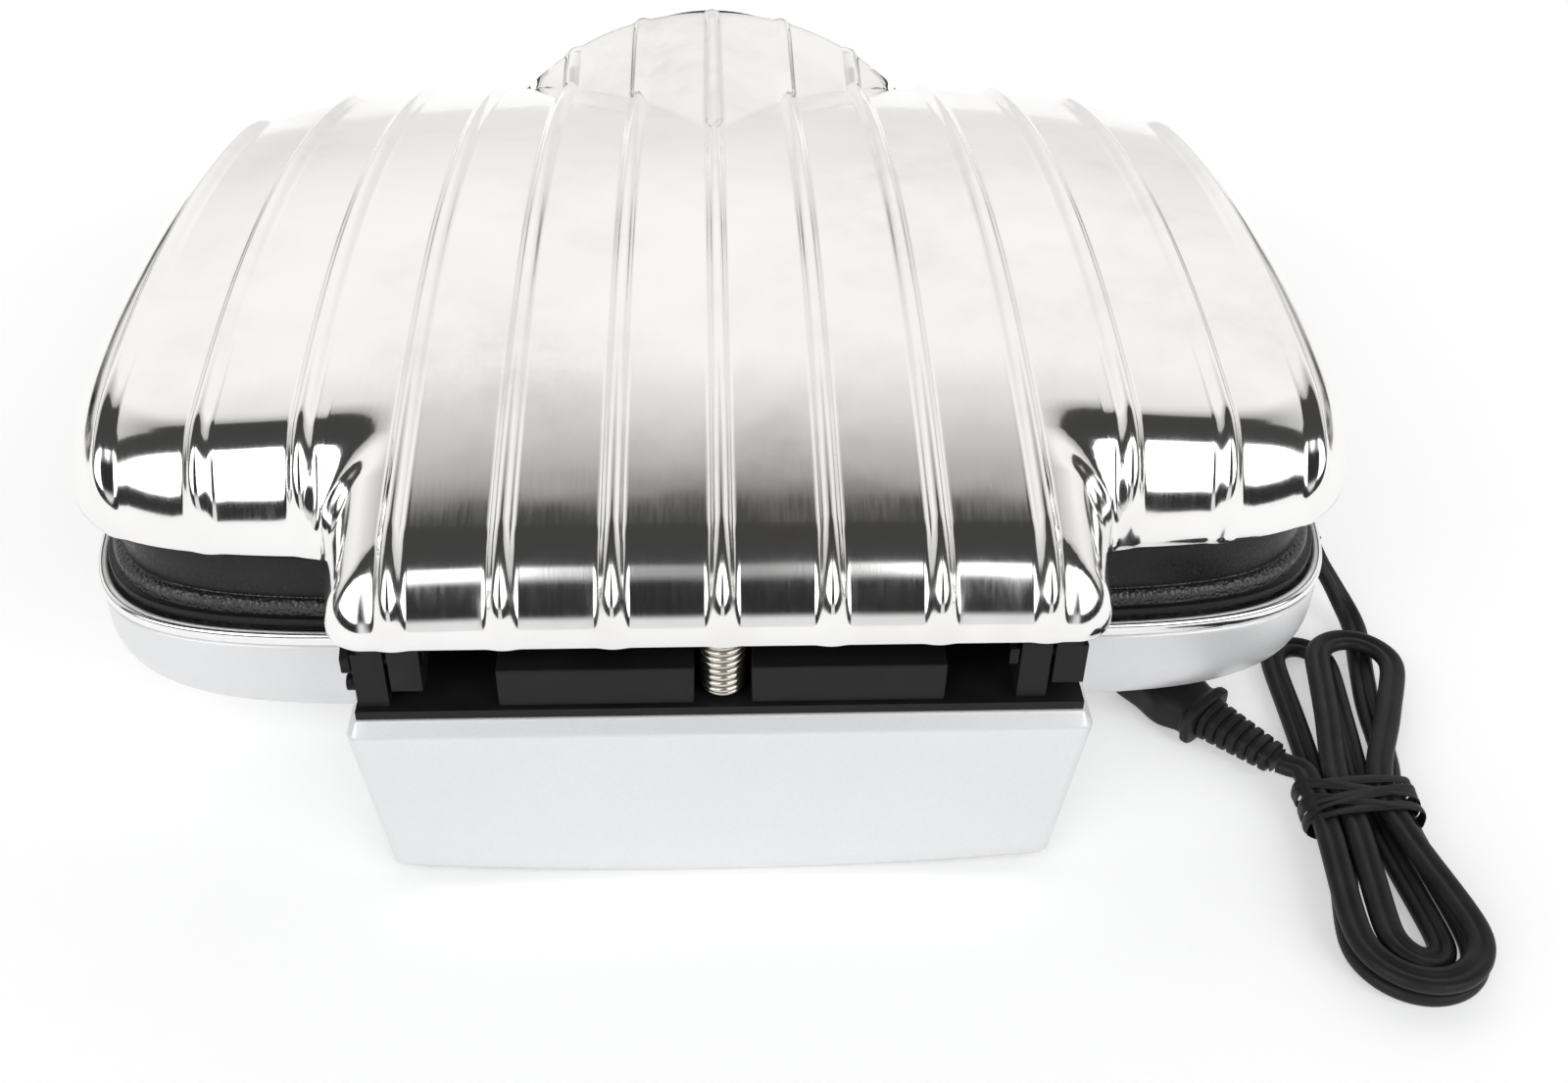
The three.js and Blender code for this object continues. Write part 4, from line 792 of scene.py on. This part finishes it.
def lid_rows(xs):
    """Rows of y for every column, from the front edge to the shoulder line, then down the cover."""
    ax = np.abs(xs)
    front = outline_y(xs, False)
    line = TONGUE_REAR - COVER_RUN
    rear = np.where(ax > TONGUE_HALF, rear_boundary(xs), line)
    scale = np.minimum(1, (rear - front) / 110)
    edge = front + BILL_SETBACK * scale
    rows = [front + (edge - front) * share for share in quarter(LIP_ROW + 1)]
    rows += [edge + 0.5 * i * scale for i in range(1, WALL_ROWS + 1)]
    settle = 4 + np.clip(0.8 * (ax - BILL_HALF), 0, 10)
    bill_end = np.where(ax < BILL_HALF, np.maximum(bill_crease(xs), edge + 4), edge + settle * scale)
    start = rows[-1]
    rows += [start + (bill_end - start) * share for share in np.linspace(0, 1, 23)[1:]]
    body_end = rear - 24 * scale
    rows += [bill_end + (body_end - bill_end) * share for share in np.linspace(0, 1, 52)[1:]]
    rows += [rear - (rear - body_end) * share for share in quarter(22)[::-1][1:]]
    into = np.maximum(0, ax - (TONGUE_HALF - TONGUE_CORNER))
    end = TONGUE_REAR - (TONGUE_CORNER - np.sqrt(np.maximum(0, TONGUE_CORNER ** 2 - into ** 2)))
    bend = end - 21 * np.minimum(1, (end - line) / COVER_RUN)
    cover = [line + (bend - line) * share for share in np.linspace(0, 1, 8)[1:]]
    cover += [end - (end - bend) * share for share in quarter(30)[::-1][1:]]
    return np.array(rows), np.array(cover)


def slopes(surface, x, y, step=0.05):
    across = (surface(x + step, y) - surface(x - step, y)) / (2 * step)
    along = (surface(x, y + step) - surface(x, y - step)) / (2 * step)
    return across, along


def lid_surface(xs, ys, on_edge):
    """Points, depths and normals of the lid; on_edge marks the points that lie on its boundary."""
    x = leaning(np.broadcast_to(xs, ys.shape), ys)
    depth = np.where(on_edge, 0, np.maximum(lid_depth(x, ys), 0))
    up, fall = edge_turn(depth)
    height = dome_z(x, ys) - LID_BASE
    slope_x, slope_y = slopes(dome_z, x, ys)
    fall_x, fall_y = slopes(lid_depth, x, ys)
    normal = unit(np.stack([
        -(slope_x * up ** 2 + height * fall / EDGE_RADIUS * fall_x),
        -(slope_y * up ** 2 + height * fall / EDGE_RADIUS * fall_y),
        np.maximum(up, 1e-4),
    ], -1))
    return x, LID_BASE + height * up, depth, normal


def bill_normals(x, y, edge, step=0.4):
    """Directions square to the bill, held steady where it runs into the dome."""
    inner_x, inner_y = np.clip(x, 1 - BILL_HALF, BILL_HALF - 1), np.maximum(y, edge + 3)
    across = (bill_z(inner_x + step, inner_y, edge) - bill_z(inner_x - step, inner_y, edge)) / (2 * step)
    crease = bill_crease(x)
    rise = (bill_edge_z(x) - dome_z(x, crease)) / np.maximum(crease - edge, 3)
    return unit(np.stack([-np.clip(across, -0.9, 0.9), rise, np.ones_like(x)], -1))


def bill_wall(low, top):
    """The set-back, height and rib share of each row of the bill's front wall."""
    floor = np.minimum(POCKET_FLOOR - 0.1, low + 0.45 * (top - low))
    roof = np.maximum(top - 2.2, floor + 0.3 * (top - floor))
    return (
        (0.0, floor, 0.0),
        (0.0, roof, 0.35),
        (0.0, np.maximum(top - 0.9, roof), 0.75),
        (0.28, top - 0.25, 0.95),
        (0.95, top, 1.0),
    )


def body_grid(xs, rows):
    """The lid's points up to the cover's root, with the bill raised over its front."""
    ax = np.abs(xs)
    on_edge = np.zeros(rows.shape, bool)
    on_edge[0] = True
    on_edge[-1] = ax > TONGUE_HALF + 1e-6
    x, z, depth, normal = lid_surface(xs, rows, on_edge)
    y = rows.copy()
    edge = rows[LIP_ROW]
    edges = np.broadcast_to(edge, y.shape)
    in_bill = ax < BILL_HALF
    low = z[LIP_ROW].copy()
    top = np.where(in_bill, np.maximum(bill_edge_z(xs), low), low)
    on_bill = np.maximum(bill_z(xs[None, :], y, edges), z)
    behind = (np.arange(len(rows)) > LIP_ROW + WALL_ROWS)[:, None] & in_bill[None, :]
    raised = behind & (on_bill > z + 1e-6)
    z = np.where(behind, on_bill, z)
    tilted = bill_normals(x, y, edges)
    normal = np.where(raised[..., None], tilted, normal)
    for row, (back, level, share) in enumerate(bill_wall(low, top), LIP_ROW + 1):
        y[row] = np.where(in_bill, edge + back, y[row])
        z[row] = np.where(in_bill, level, z[row])
        normal[row] = np.where(in_bill[:, None], tilted[row] * share, normal[row])
    on_top = raised.copy()
    on_top[LIP_ROW + 1:LIP_ROW + WALL_ROWS + 1] |= in_bill[None, :]
    bill_swell = rib_swell(x, 30.0) * (0.45 + 0.55 * np.clip((y - edges) / 12, 0, 1))
    swell = np.where(on_top, bill_swell, rib_swell(x, depth) * lip_fade(depth))
    grid = np.stack([x, y, z], -1) + normal * swell[..., None]
    tips = []
    for column, sign in ((0, -1), (-1, 1)):
        tip = y[:, column]
        tips.append(np.stack([sign * outline_x(tip), tip, np.full(len(tip), LID_BASE)], -1)[:, None])
    return np.concatenate([tips[0], grid, tips[1]], 1)


def cover_grid(xs, ys):
    """The points of the hinge cover behind the lid's body."""
    on_edge = np.zeros(ys.shape, bool)
    on_edge[-1] = True
    on_edge[:, 0] = on_edge[:, -1] = True
    x, z, depth, normal = lid_surface(xs, ys, on_edge)
    swell = rib_swell(x, depth) * lip_fade(depth)
    return np.stack([x, ys, z], -1) + normal * swell[..., None]


def lower_lip(mesh, below, to, inward=0.0):
    """Carries the open edge that lies under a height down to another one."""
    loops = [e.link_loops[0] for e in mesh.edges
             if e.is_boundary and all(v.co.z < below * MM for v in e.verts)]
    rim = [(loop.link_loop_next.vert, loop.vert) for loop in loops]
    lowered = {}
    for vert in (v for pair in rim for v in pair):
        if vert not in lowered:
            place = vert.co + (Vector((0, 0, vert.co.z)) - vert.co).normalized() * inward * MM
            place.z = to * MM
            lowered[vert] = mesh.verts.new(place)
    for one, two in rim:
        mesh.faces.new((one, two, lowered[two], lowered[one]))


def lid_piece():
    """The lid's shell: its ribbed body, the bill with the pocket's opening, and the hinge cover."""
    xs = lid_columns()
    rows, cover = lid_rows(xs)
    inner = np.where(np.abs(xs) <= TONGUE_HALF + 1e-6)[0]
    body = body_grid(xs, rows)
    tongue = cover_grid(xs[inner], cover[:, inner])
    wide = body.shape[1]
    pocket = {k for k in range(1, len(xs)) if max(abs(xs[k - 1]), abs(xs[k])) <= POCKET_HALF + 0.01}
    faces = [
        face for n, face in enumerate(grid_faces(len(rows), wide))
        if n // (wide - 1) != POCKET_ROW or n % (wide - 1) not in pocket
    ]
    start, across = body.shape[0] * wide, len(inner)
    seam = start - wide + 1 + inner[0] + np.arange(across)
    ids = np.vstack([seam, start + np.arange(tongue.shape[0] * across).reshape(-1, across)]).tolist()
    for above, under in zip(ids, ids[1:]):
        faces += [(above[k], above[k + 1], under[k + 1], under[k]) for k in range(across - 1)]
    points = np.concatenate([body.reshape(-1, 3), tongue.reshape(-1, 3)])
    piece = mesh_piece("lid_shell_polished", points, faces, aluminium)
    mesh = bmesh.new()
    mesh.from_mesh(piece.data)
    bmesh.ops.remove_doubles(mesh, verts=mesh.verts, dist=2e-6)
    lower_lip(mesh, LID_BASE + 2.7, LID_RIM + 0.7)
    lower_lip(mesh, LID_RIM + 0.8, LID_RIM, 0.4)
    bmesh.ops.recalc_face_normals(mesh, faces=mesh.faces)
    top_face = max(mesh.faces, key=lambda f: f.calc_center_median().z)
    if top_face.normal.z < 0:
        bmesh.ops.reverse_faces(mesh, faces=mesh.faces)
    mesh.to_mesh(piece.data)
    mesh.free()
    add_modifier(piece, "SOLIDIFY", thickness=2.0 * MM, offset=-1, use_rim=True)
    finish_piece(piece, "lid", ["lid_shell"], 48)


def arch_loop(inset):
    """The front shape of the finger pocket, as a closed loop of x and z."""
    half, floor = POCKET_HALF - inset, POCKET_FLOOR + inset
    arch = [(x, bill_edge_z(x) - 2.4 - inset) for x in np.linspace(half, -half, 41)]
    return [(half, floor), *arch, (-half, floor)]


def insert_piece():
    """The heat-resistant liner of the finger pocket, with a forward lip in its middle."""
    outer, inner = arch_loop(0.35), arch_loop(2.6)
    front, rear, back = POCKET_FRONT, -130.5, -133.0
    arch_foot, lip_half = 101, 34

    def lip(x):
        return max(0.0, 1 - (x / lip_half) ** 2)

    rings = [[(x, y, z) for x, z in outer] for y in (rear, front + 0.4)]
    for ahead, rise in ((0.0, 2.3), (0.5, 2.75), (2.6, 2.1), (3.0, 1.2), (3.0, 0.2)):
        rings.append([(x, front - ahead * lip(x), z + rise * lip(x) * (z > arch_foot)) for x, z in outer])
    rings += [[(x, y, z) for x, z in inner] for y in (front + 0.5, back)]
    rings = np.array(rings)
    x, y, z = (rings[..., k] for k in range(3))
    slope = np.maximum(y + 159, 0) / 28.5
    z = np.where(z > arch_foot, z - slope * 0.35 * (z - arch_foot), z)
    over = np.maximum(bill_z(x, y, -159.5), dome_z(x, y)) - 3.1
    roof = np.where(y > -159.4, over, DOME_TOP)
    rings[..., 2] = np.minimum(z, np.maximum(roof, POCKET_FLOOR + 0.5))
    piece = outward(mesh_piece("handle_insert_liner", *loft(rings), black))
    angle = math.radians(40)
    add_modifier(piece, "BEVEL", width=0.35 * MM, segments=2, limit_method="ANGLE", angle_limit=angle)
    finish_piece(piece, "lid", ["handle_insert"], 40)


lid_piece()
insert_piece()


# Base

BOX_HALF, BOX_FOOT_HALF, BOX_TOP, BOX_LEAN_HEIGHT = 96.3, 89.7, 53, 47
BOX_FRONT, BOX_CORNER = 118.0, 3.2


def tray_piece():
    """The silver tray with its rim, its groove and its bowl."""
    profile = [(2.2, 53.6), (1.9, 53.9), (1.4, 53.9), (1.2, 53.6), (1.2, 50.4), (1.0, 49.9), (0.5, 49.7),
               (0.12, 49.5), (0.0, 49.1), (0.0, 48.0), (0.0, 43.0)]
    profile += [(24 * (1 - math.cos(a)), 39 - 24 * math.sin(a)) for a in np.linspace(0, math.pi / 2, 15)]
    profile += [(40, 15), (70, 15), (110, 15)]
    lining = [(110, 17.2), (60, 17.2), (26.5, 17.2)]
    lining += [(2.2 + 22 * (1 - math.cos(a)), 39 - 21.8 * math.sin(a))
               for a in np.linspace(math.pi / 2, 0, 8)]
    outer, inner = outline_rings(profile), outline_rings(lining)
    points, faces = joined(*loft(outer, cap_start=False), *loft(inner, cap_end=False))
    sides = outer.shape[1]
    last = len(points) - sides
    for k in range(sides):
        n = (k + 1) % sides
        faces.append((last + k, last + n, n, k))
    piece = outward(mesh_piece("base_tray", points, faces, silver))
    finish_piece(piece, "base", ["base_shell"], 50)


def rim_piece():
    """The bright rolled edge of the tray."""
    rings = outline_rings(ellipse(24, 0.9, 1.95) + (0.62, 52.05))
    faces = grid_faces(*rings.shape[:2], closed=True, ring=True)
    piece = outward(mesh_piece("base_rim_bright", rings.reshape(-1, 3), faces, aluminium))
    finish_piece(piece, "base", ["base_shell"], 60)


def box_ring(inset, height):
    """A ring of the rear box; height is a function of x, for the arched bottom."""
    lean = (BOX_HALF - BOX_FOOT_HALF) / BOX_LEAN_HEIGHT
    half = BOX_HALF - lean * max(0.0, BOX_TOP - height(90)) - inset
    rear = REAR_FACE - inset
    radius = max(0.4, BOX_CORNER - inset)
    ring = [(half, y) for y in np.linspace(BOX_FRONT, rear - radius, 10)]
    for a in np.linspace(0, math.pi / 2, 8)[1:]:
        ring.append((half + radius * (math.cos(a) - 1), rear - radius + radius * math.sin(a)))
    ring += [(x, rear) for x in np.linspace(ring[-1][0], 0, 30)[1:]]
    ring += [(-x, y) for x, y in reversed(ring[:-1])]
    return [(x, y, height(x)) for x, y in ring]


def box_piece():
    """The silver box under the hinge, with its ledge and its arched foot."""
    def level(z):
        return lambda x: z

    def arc(lift):
        return lambda x: 1.5 + 4.5 * min(1.0, abs(x) / BOX_FOOT_HALF) ** 2 + lift

    def part(share):
        return lambda x: 52.0 + (arc(1.2)(x) - 52.0) * share

    rows = [(inset, level(z)) for inset, z in (
        (6.5, 56.6), (6.2, 57.0), (4.6, 57.3), (3.0, 57.3), (2.72, 57.15),
        (2.3, 56.6), (0.55, 53.9), (0.2, 53.35), (0.0, 52.7),
    )]
    rows += [(0.0, part(share)) for share in np.linspace(0, 1, 12)]
    rows += [(0.25, arc(0.45)), (0.8, arc(0.08)), (1.5, arc(0.0)), (2.2, arc(0.2)), (2.4, arc(2.0))]
    rows.append((2.4, level(50.0)))
    rings = np.array([box_ring(inset, height) for inset, height in rows])
    faces = grid_faces(*rings.shape[:2])
    piece = outward(mesh_piece("base_rear_box", rings.reshape(-1, 3), faces, silver))
    add_modifier(piece, "SOLIDIFY", thickness=0.4 * MM, offset=-1)
    finish_piece(piece, "base", ["base_shell"], 50)


tray_piece()
rim_piece()
box_piece()


# Plates

RIDGE_FRONT, RIDGE_REAR, RIDGE_PITCH, RIDGE_HALF = -118, 88, 20.0, 2.6


def ridge_rings(x, root, tip):
    """A cooking ridge with a rounded crest and run-out ends."""
    sign = 1 if tip > root else -1
    tall = abs(tip - root)
    flank = [(0.98, 0), (0.72, tall * 0.62), (0.5, tall * 0.92), (0.2, tall)]
    shape = [(-1, -0.6), *[(-a, b) for a, b in flank], *flank[::-1], (1, -0.6)]
    run_out = ((0, 0.0), (0.6, 0.4), (1.6, 0.78), (3.2, 1.0))
    stations = [(RIDGE_FRONT + step, share) for step, share in run_out]
    stations.append(((RIDGE_FRONT + RIDGE_REAR) / 2, 1.0))
    stations += [(RIDGE_REAR - step, share) for step, share in run_out[::-1]]
    return [[(x + RIDGE_HALF * a, y, root + sign * (b * share if b > 0 else b)) for a, b in shape]
            for y, share in stations]


def plate_piece(name, profile, root, tip, material):
    """A cooking plate through its profile, with its ridges."""
    points, faces = loft(outline_rings(profile))
    for k in range(-6, 7):
        points, faces = joined(points, faces, *loft(ridge_rings(k * RIDGE_PITCH, root, tip)))
    return outward(mesh_piece(name, points, faces, material))


def lower_plate():
    profile = [(10.0, 54.5), (3.4, 54.4), (3.0, 54.7), (3.0, 56.6), (3.2, 57.0),
               (4.2, 57.1), (4.5, 57.3), (4.6, 57.8), (4.65, 58.6)]
    profile += [(4.6 + 2.3 * (1 - math.cos(a)), 58.9 + 2.6 * math.sin(a))
                for a in np.linspace(0.1, math.pi / 2, 7)]
    profile += [(7.05, 61.7), (7.0, 62.2), (7.0, 68.0), (7.0, 74.6), (7.2, 75.5), (7.7, 75.95), (8.6, 76.0),
                (12.0, 75.9), (13.4, 75.2), (17.5, 75.2), (18.8, 75.9), (20.0, 76.0), (60.0, 76.0),
                (110.0, 76.0)]
    piece = plate_piece("lower_plate_cast", profile, 75.95, 79.0, coating)
    piece.data.materials.append(cast)
    for polygon in piece.data.polygons:
        if 0.0575 < polygon.center.z < 0.0618 or polygon.center.z > 0.0752:
            polygon.material_index = 1
    finish_piece(piece, "base", ["lower_grill_plate"], 42)


def upper_plate():
    profile = [(9.0, 85.9), (8.6, 85.8), (8.5, 83.4), (4.5, 83.2), (4.2, 82.9), (4.2, 81.8), (4.5, 81.5),
               (7.6, 81.5), (8.2, 82.2), (8.6, 82.9), (12, 82.9), (60, 82.9), (110, 82.9)]
    piece = plate_piece("upper_plate_cast", profile, 82.95, 79.9, cast)
    finish_piece(piece, "lid", ["upper_grill_plate"], 42)


lower_plate()
upper_plate()


# Hinge and small parts

def spring_piece():
    """The coil spring that guards the leads, with its end turns closed."""
    radius, wire, bottom, top, middle_y = 5.0, 0.92, 61.3, 84.6, 153.5
    curls, steps = 12, 40
    angle = np.linspace(0, TURN * curls, curls * steps + 1)
    turns = angle / TURN
    rise = np.clip((turns - 0.75) / (curls - 1.5), 0, 1)
    height = bottom + wire * 0.2 + (top - bottom - 2 * wire) * (0.04 * turns / curls + 0.96 * rise)
    line = np.stack([radius * np.cos(angle), middle_y + radius * np.sin(angle), height + wire], 1)
    out = np.stack([np.cos(angle), np.sin(angle), np.zeros_like(angle)], 1)
    over = np.cross(unit(np.gradient(line, axis=0)), out)
    rings = swept(line, ellipse(12, wire, wire), out, over)
    piece = outward(mesh_piece("wire_guard_coils", *loft(rings), nickel))
    finish_piece(piece, "base", ["wire_guard_spring"], 60)


# Names, material, slot, body, and the width and segments of the rounded edges
SMALL_PARTS = (
    (("hinge_deck", "hinge_block_left", "hinge_block_right", "tower_left", "tower_right"),
     black, "black_plastic", "base", 0.55, 3),
    (("lid_arm_left", "lid_arm_right", "hinge_bar_left", "hinge_bar_right"),
     black, "black_plastic", "lid", 0.45, 3),
    (("hinge_pin_left", "hinge_pin_right"), black_steel, "steel", "hinge_carrier", 0.4, 2),
    (("stop_pin_left",), black_steel, "steel", "base", 0.3, 2),
    (("front_foot_left", "front_foot_right", "rear_foot_left", "rear_foot_right"),
     rubber, "rubber", "base", 0.8, 3),
    (("rear_bottom_cover",), black, "black_plastic", "base", 0.4, 2),
    (("cover_screw_left", "cover_screw_right"), steel, "steel", "base", 0.25, 2),
    (("upper_plate_screw_left", "upper_plate_screw_right"), steel, "steel", "lid", 0.25, 2),
)
DRESSED = (
    ("lower_heating_element", sheath),
    ("upper_heating_element", sheath),
    ("lower_reflector", sheet_steel),
    ("upper_reflector", sheet_steel),
    ("thermostat", sheet_steel),
    ("terminal_block", ceramic),
    ("lid_leads", sleeve),
)

spring_piece()
for names, *rest in SMALL_PARTS:
    for name in names:
        eased(name, *rest)
for name, material in DRESSED:
    dress(name, material)


# Light and floor

def overhead_light(world, x, y, z):
    """The bright surround ahead of the camera, and the share of the dark oval overhead."""
    ramp, plus, times = world.ramp, world.plus, world.times
    behind = ramp(y, -0.05, 0.05)
    reach_x = plus(times(behind, 0.34), 0.68)
    reach_y = plus(times(behind, 0.12), 0.362)
    squares = [world.maths("POWER", world.maths("DIVIDE", v, reach), 2)
               for v, reach in ((x, reach_x), (y, reach_y))]
    oval = world.maths("SQRT", plus(*squares))
    cap = times(ramp(oval, 0.97, 1.04, 1.0, 0.0), ramp(z, 0.0, 0.1))
    return world.spread(oval, 1.0, 1.7, 0.36, 1.0), cap


def rear_light(world, x, y, z):
    """The room behind the camera: windows high and aside, a dark wall, and the table below."""
    ramp, times = world.ramp, world.times
    flat = world.maths("SQRT", world.plus(world.maths("POWER", x, 2), world.maths("POWER", y, 2)))
    aside = world.maths("DIVIDE", world.maths("ABSOLUTE", x), world.maths("MAXIMUM", flat, 0.001))
    window = times(ramp(aside, 0.30, 0.40), ramp(z, 0.16, 0.21))
    high = times(ramp(z, 0.73, 0.82), ramp(aside, 0.10, 0.34, 0.13, 1.0))
    table = times(ramp(z, 0.30, 0.12), ramp(aside, 0.26, 0.36, 1.0, 0.0))
    lamp = world.plus(times(world.maths("MAXIMUM", window, high), 2.6), 0.025)
    return world.plus(lamp, times(world.maths("MAXIMUM", ramp(z, -0.12, -0.2), table), 0.8))


def world_light():
    scene.world = bpy.data.worlds.new("studio")
    scene.world.use_nodes = True
    world = Tree(scene.world.node_tree)
    world.tree.nodes.clear()
    ramp, times = world.ramp, world.times
    direction = world.add("ShaderNodeTexCoord").outputs["Generated"]
    split = world.add("ShaderNodeSeparateXYZ")
    world.put(direction, split.inputs[0])
    x, y, z = split.outputs
    glow, cap = overhead_light(world, x, y, z)
    streaks = world.noise(direction, 7.0, 2.0)
    beside = times(ramp(world.maths("ABSOLUTE", x), 0.4, 0.55), ramp(z, 0.06, 0.16, 1.0, 0.0))
    dim = times(beside, ramp(streaks, 0.35, 0.65, 0.35, 0.85))
    ahead = times(glow, world.maths("SUBTRACT", ramp(z, 0.05, 0.5, 0.84, 1.0), dim))
    rear_share = ramp(y, 0.2, 0.34)
    around = world.between(rear_share, ahead, rear_light(world, x, y, z))
    level = world.between(cap, around, 0.055)
    tint = world.blend(rear_share, (1.0, 0.992, 0.975), (0.985, 0.992, 1.0))
    light = world.fill(world.add("ShaderNodeBackground"), Color=tint, Strength=level)
    plain = world.fill(world.add("ShaderNodeBackground"), Color=(1, 1, 1, 1), Strength=1.0)
    path = world.add("ShaderNodeLightPath")
    mix = world.add("ShaderNodeMixShader")
    shaders = (path.outputs["Is Camera Ray"], light.outputs[0], plain.outputs[0])
    for source, socket in zip(shaders, mix.inputs):
        world.put(source, socket)
    world.fill(world.add("ShaderNodeOutputWorld"), Surface=mix.outputs[0])


def floor_piece():
    """A wide pale floor that keeps the object's shadow."""
    look = Look("paper_floor")
    grain = look.noise(look.places(), 300, 3.0, 0.5)
    colour = look.blend(look.spread(grain, 0.3, 0.7), (0.86, 0.86, 0.86), (0.88, 0.88, 0.88))
    diffuse = look.fill(look.add("ShaderNodeBsdfDiffuse"), Color=colour)
    path = look.add("ShaderNodeLightPath")
    seen = look.maths("MAXIMUM", path.outputs["Is Camera Ray"], path.outputs["Is Glossy Ray"])
    glow = look.fill(look.add("ShaderNodeEmission"), Color=(1, 1, 1, 1), Strength=look.times(seen, 0.4))
    both = look.add("ShaderNodeAddShader")
    look.put(diffuse.outputs[0], both.inputs[0])
    look.put(glow.outputs[0], both.inputs[1])
    look.tree.nodes.remove(look.shader)
    look.put(both.outputs[0], look.tree.nodes["Material Output"].inputs["Surface"])
    ring = ellipse(96, 2160, 1)
    ring = [(x, -500 + y * (2565 if y < 0 else 1350), 0) for x, y in ring]
    mesh_piece("paper_floor", ring, [tuple(range(len(ring)))], look.material)


world_light()
floor_piece()
scene.view_settings.view_transform = "Standard"
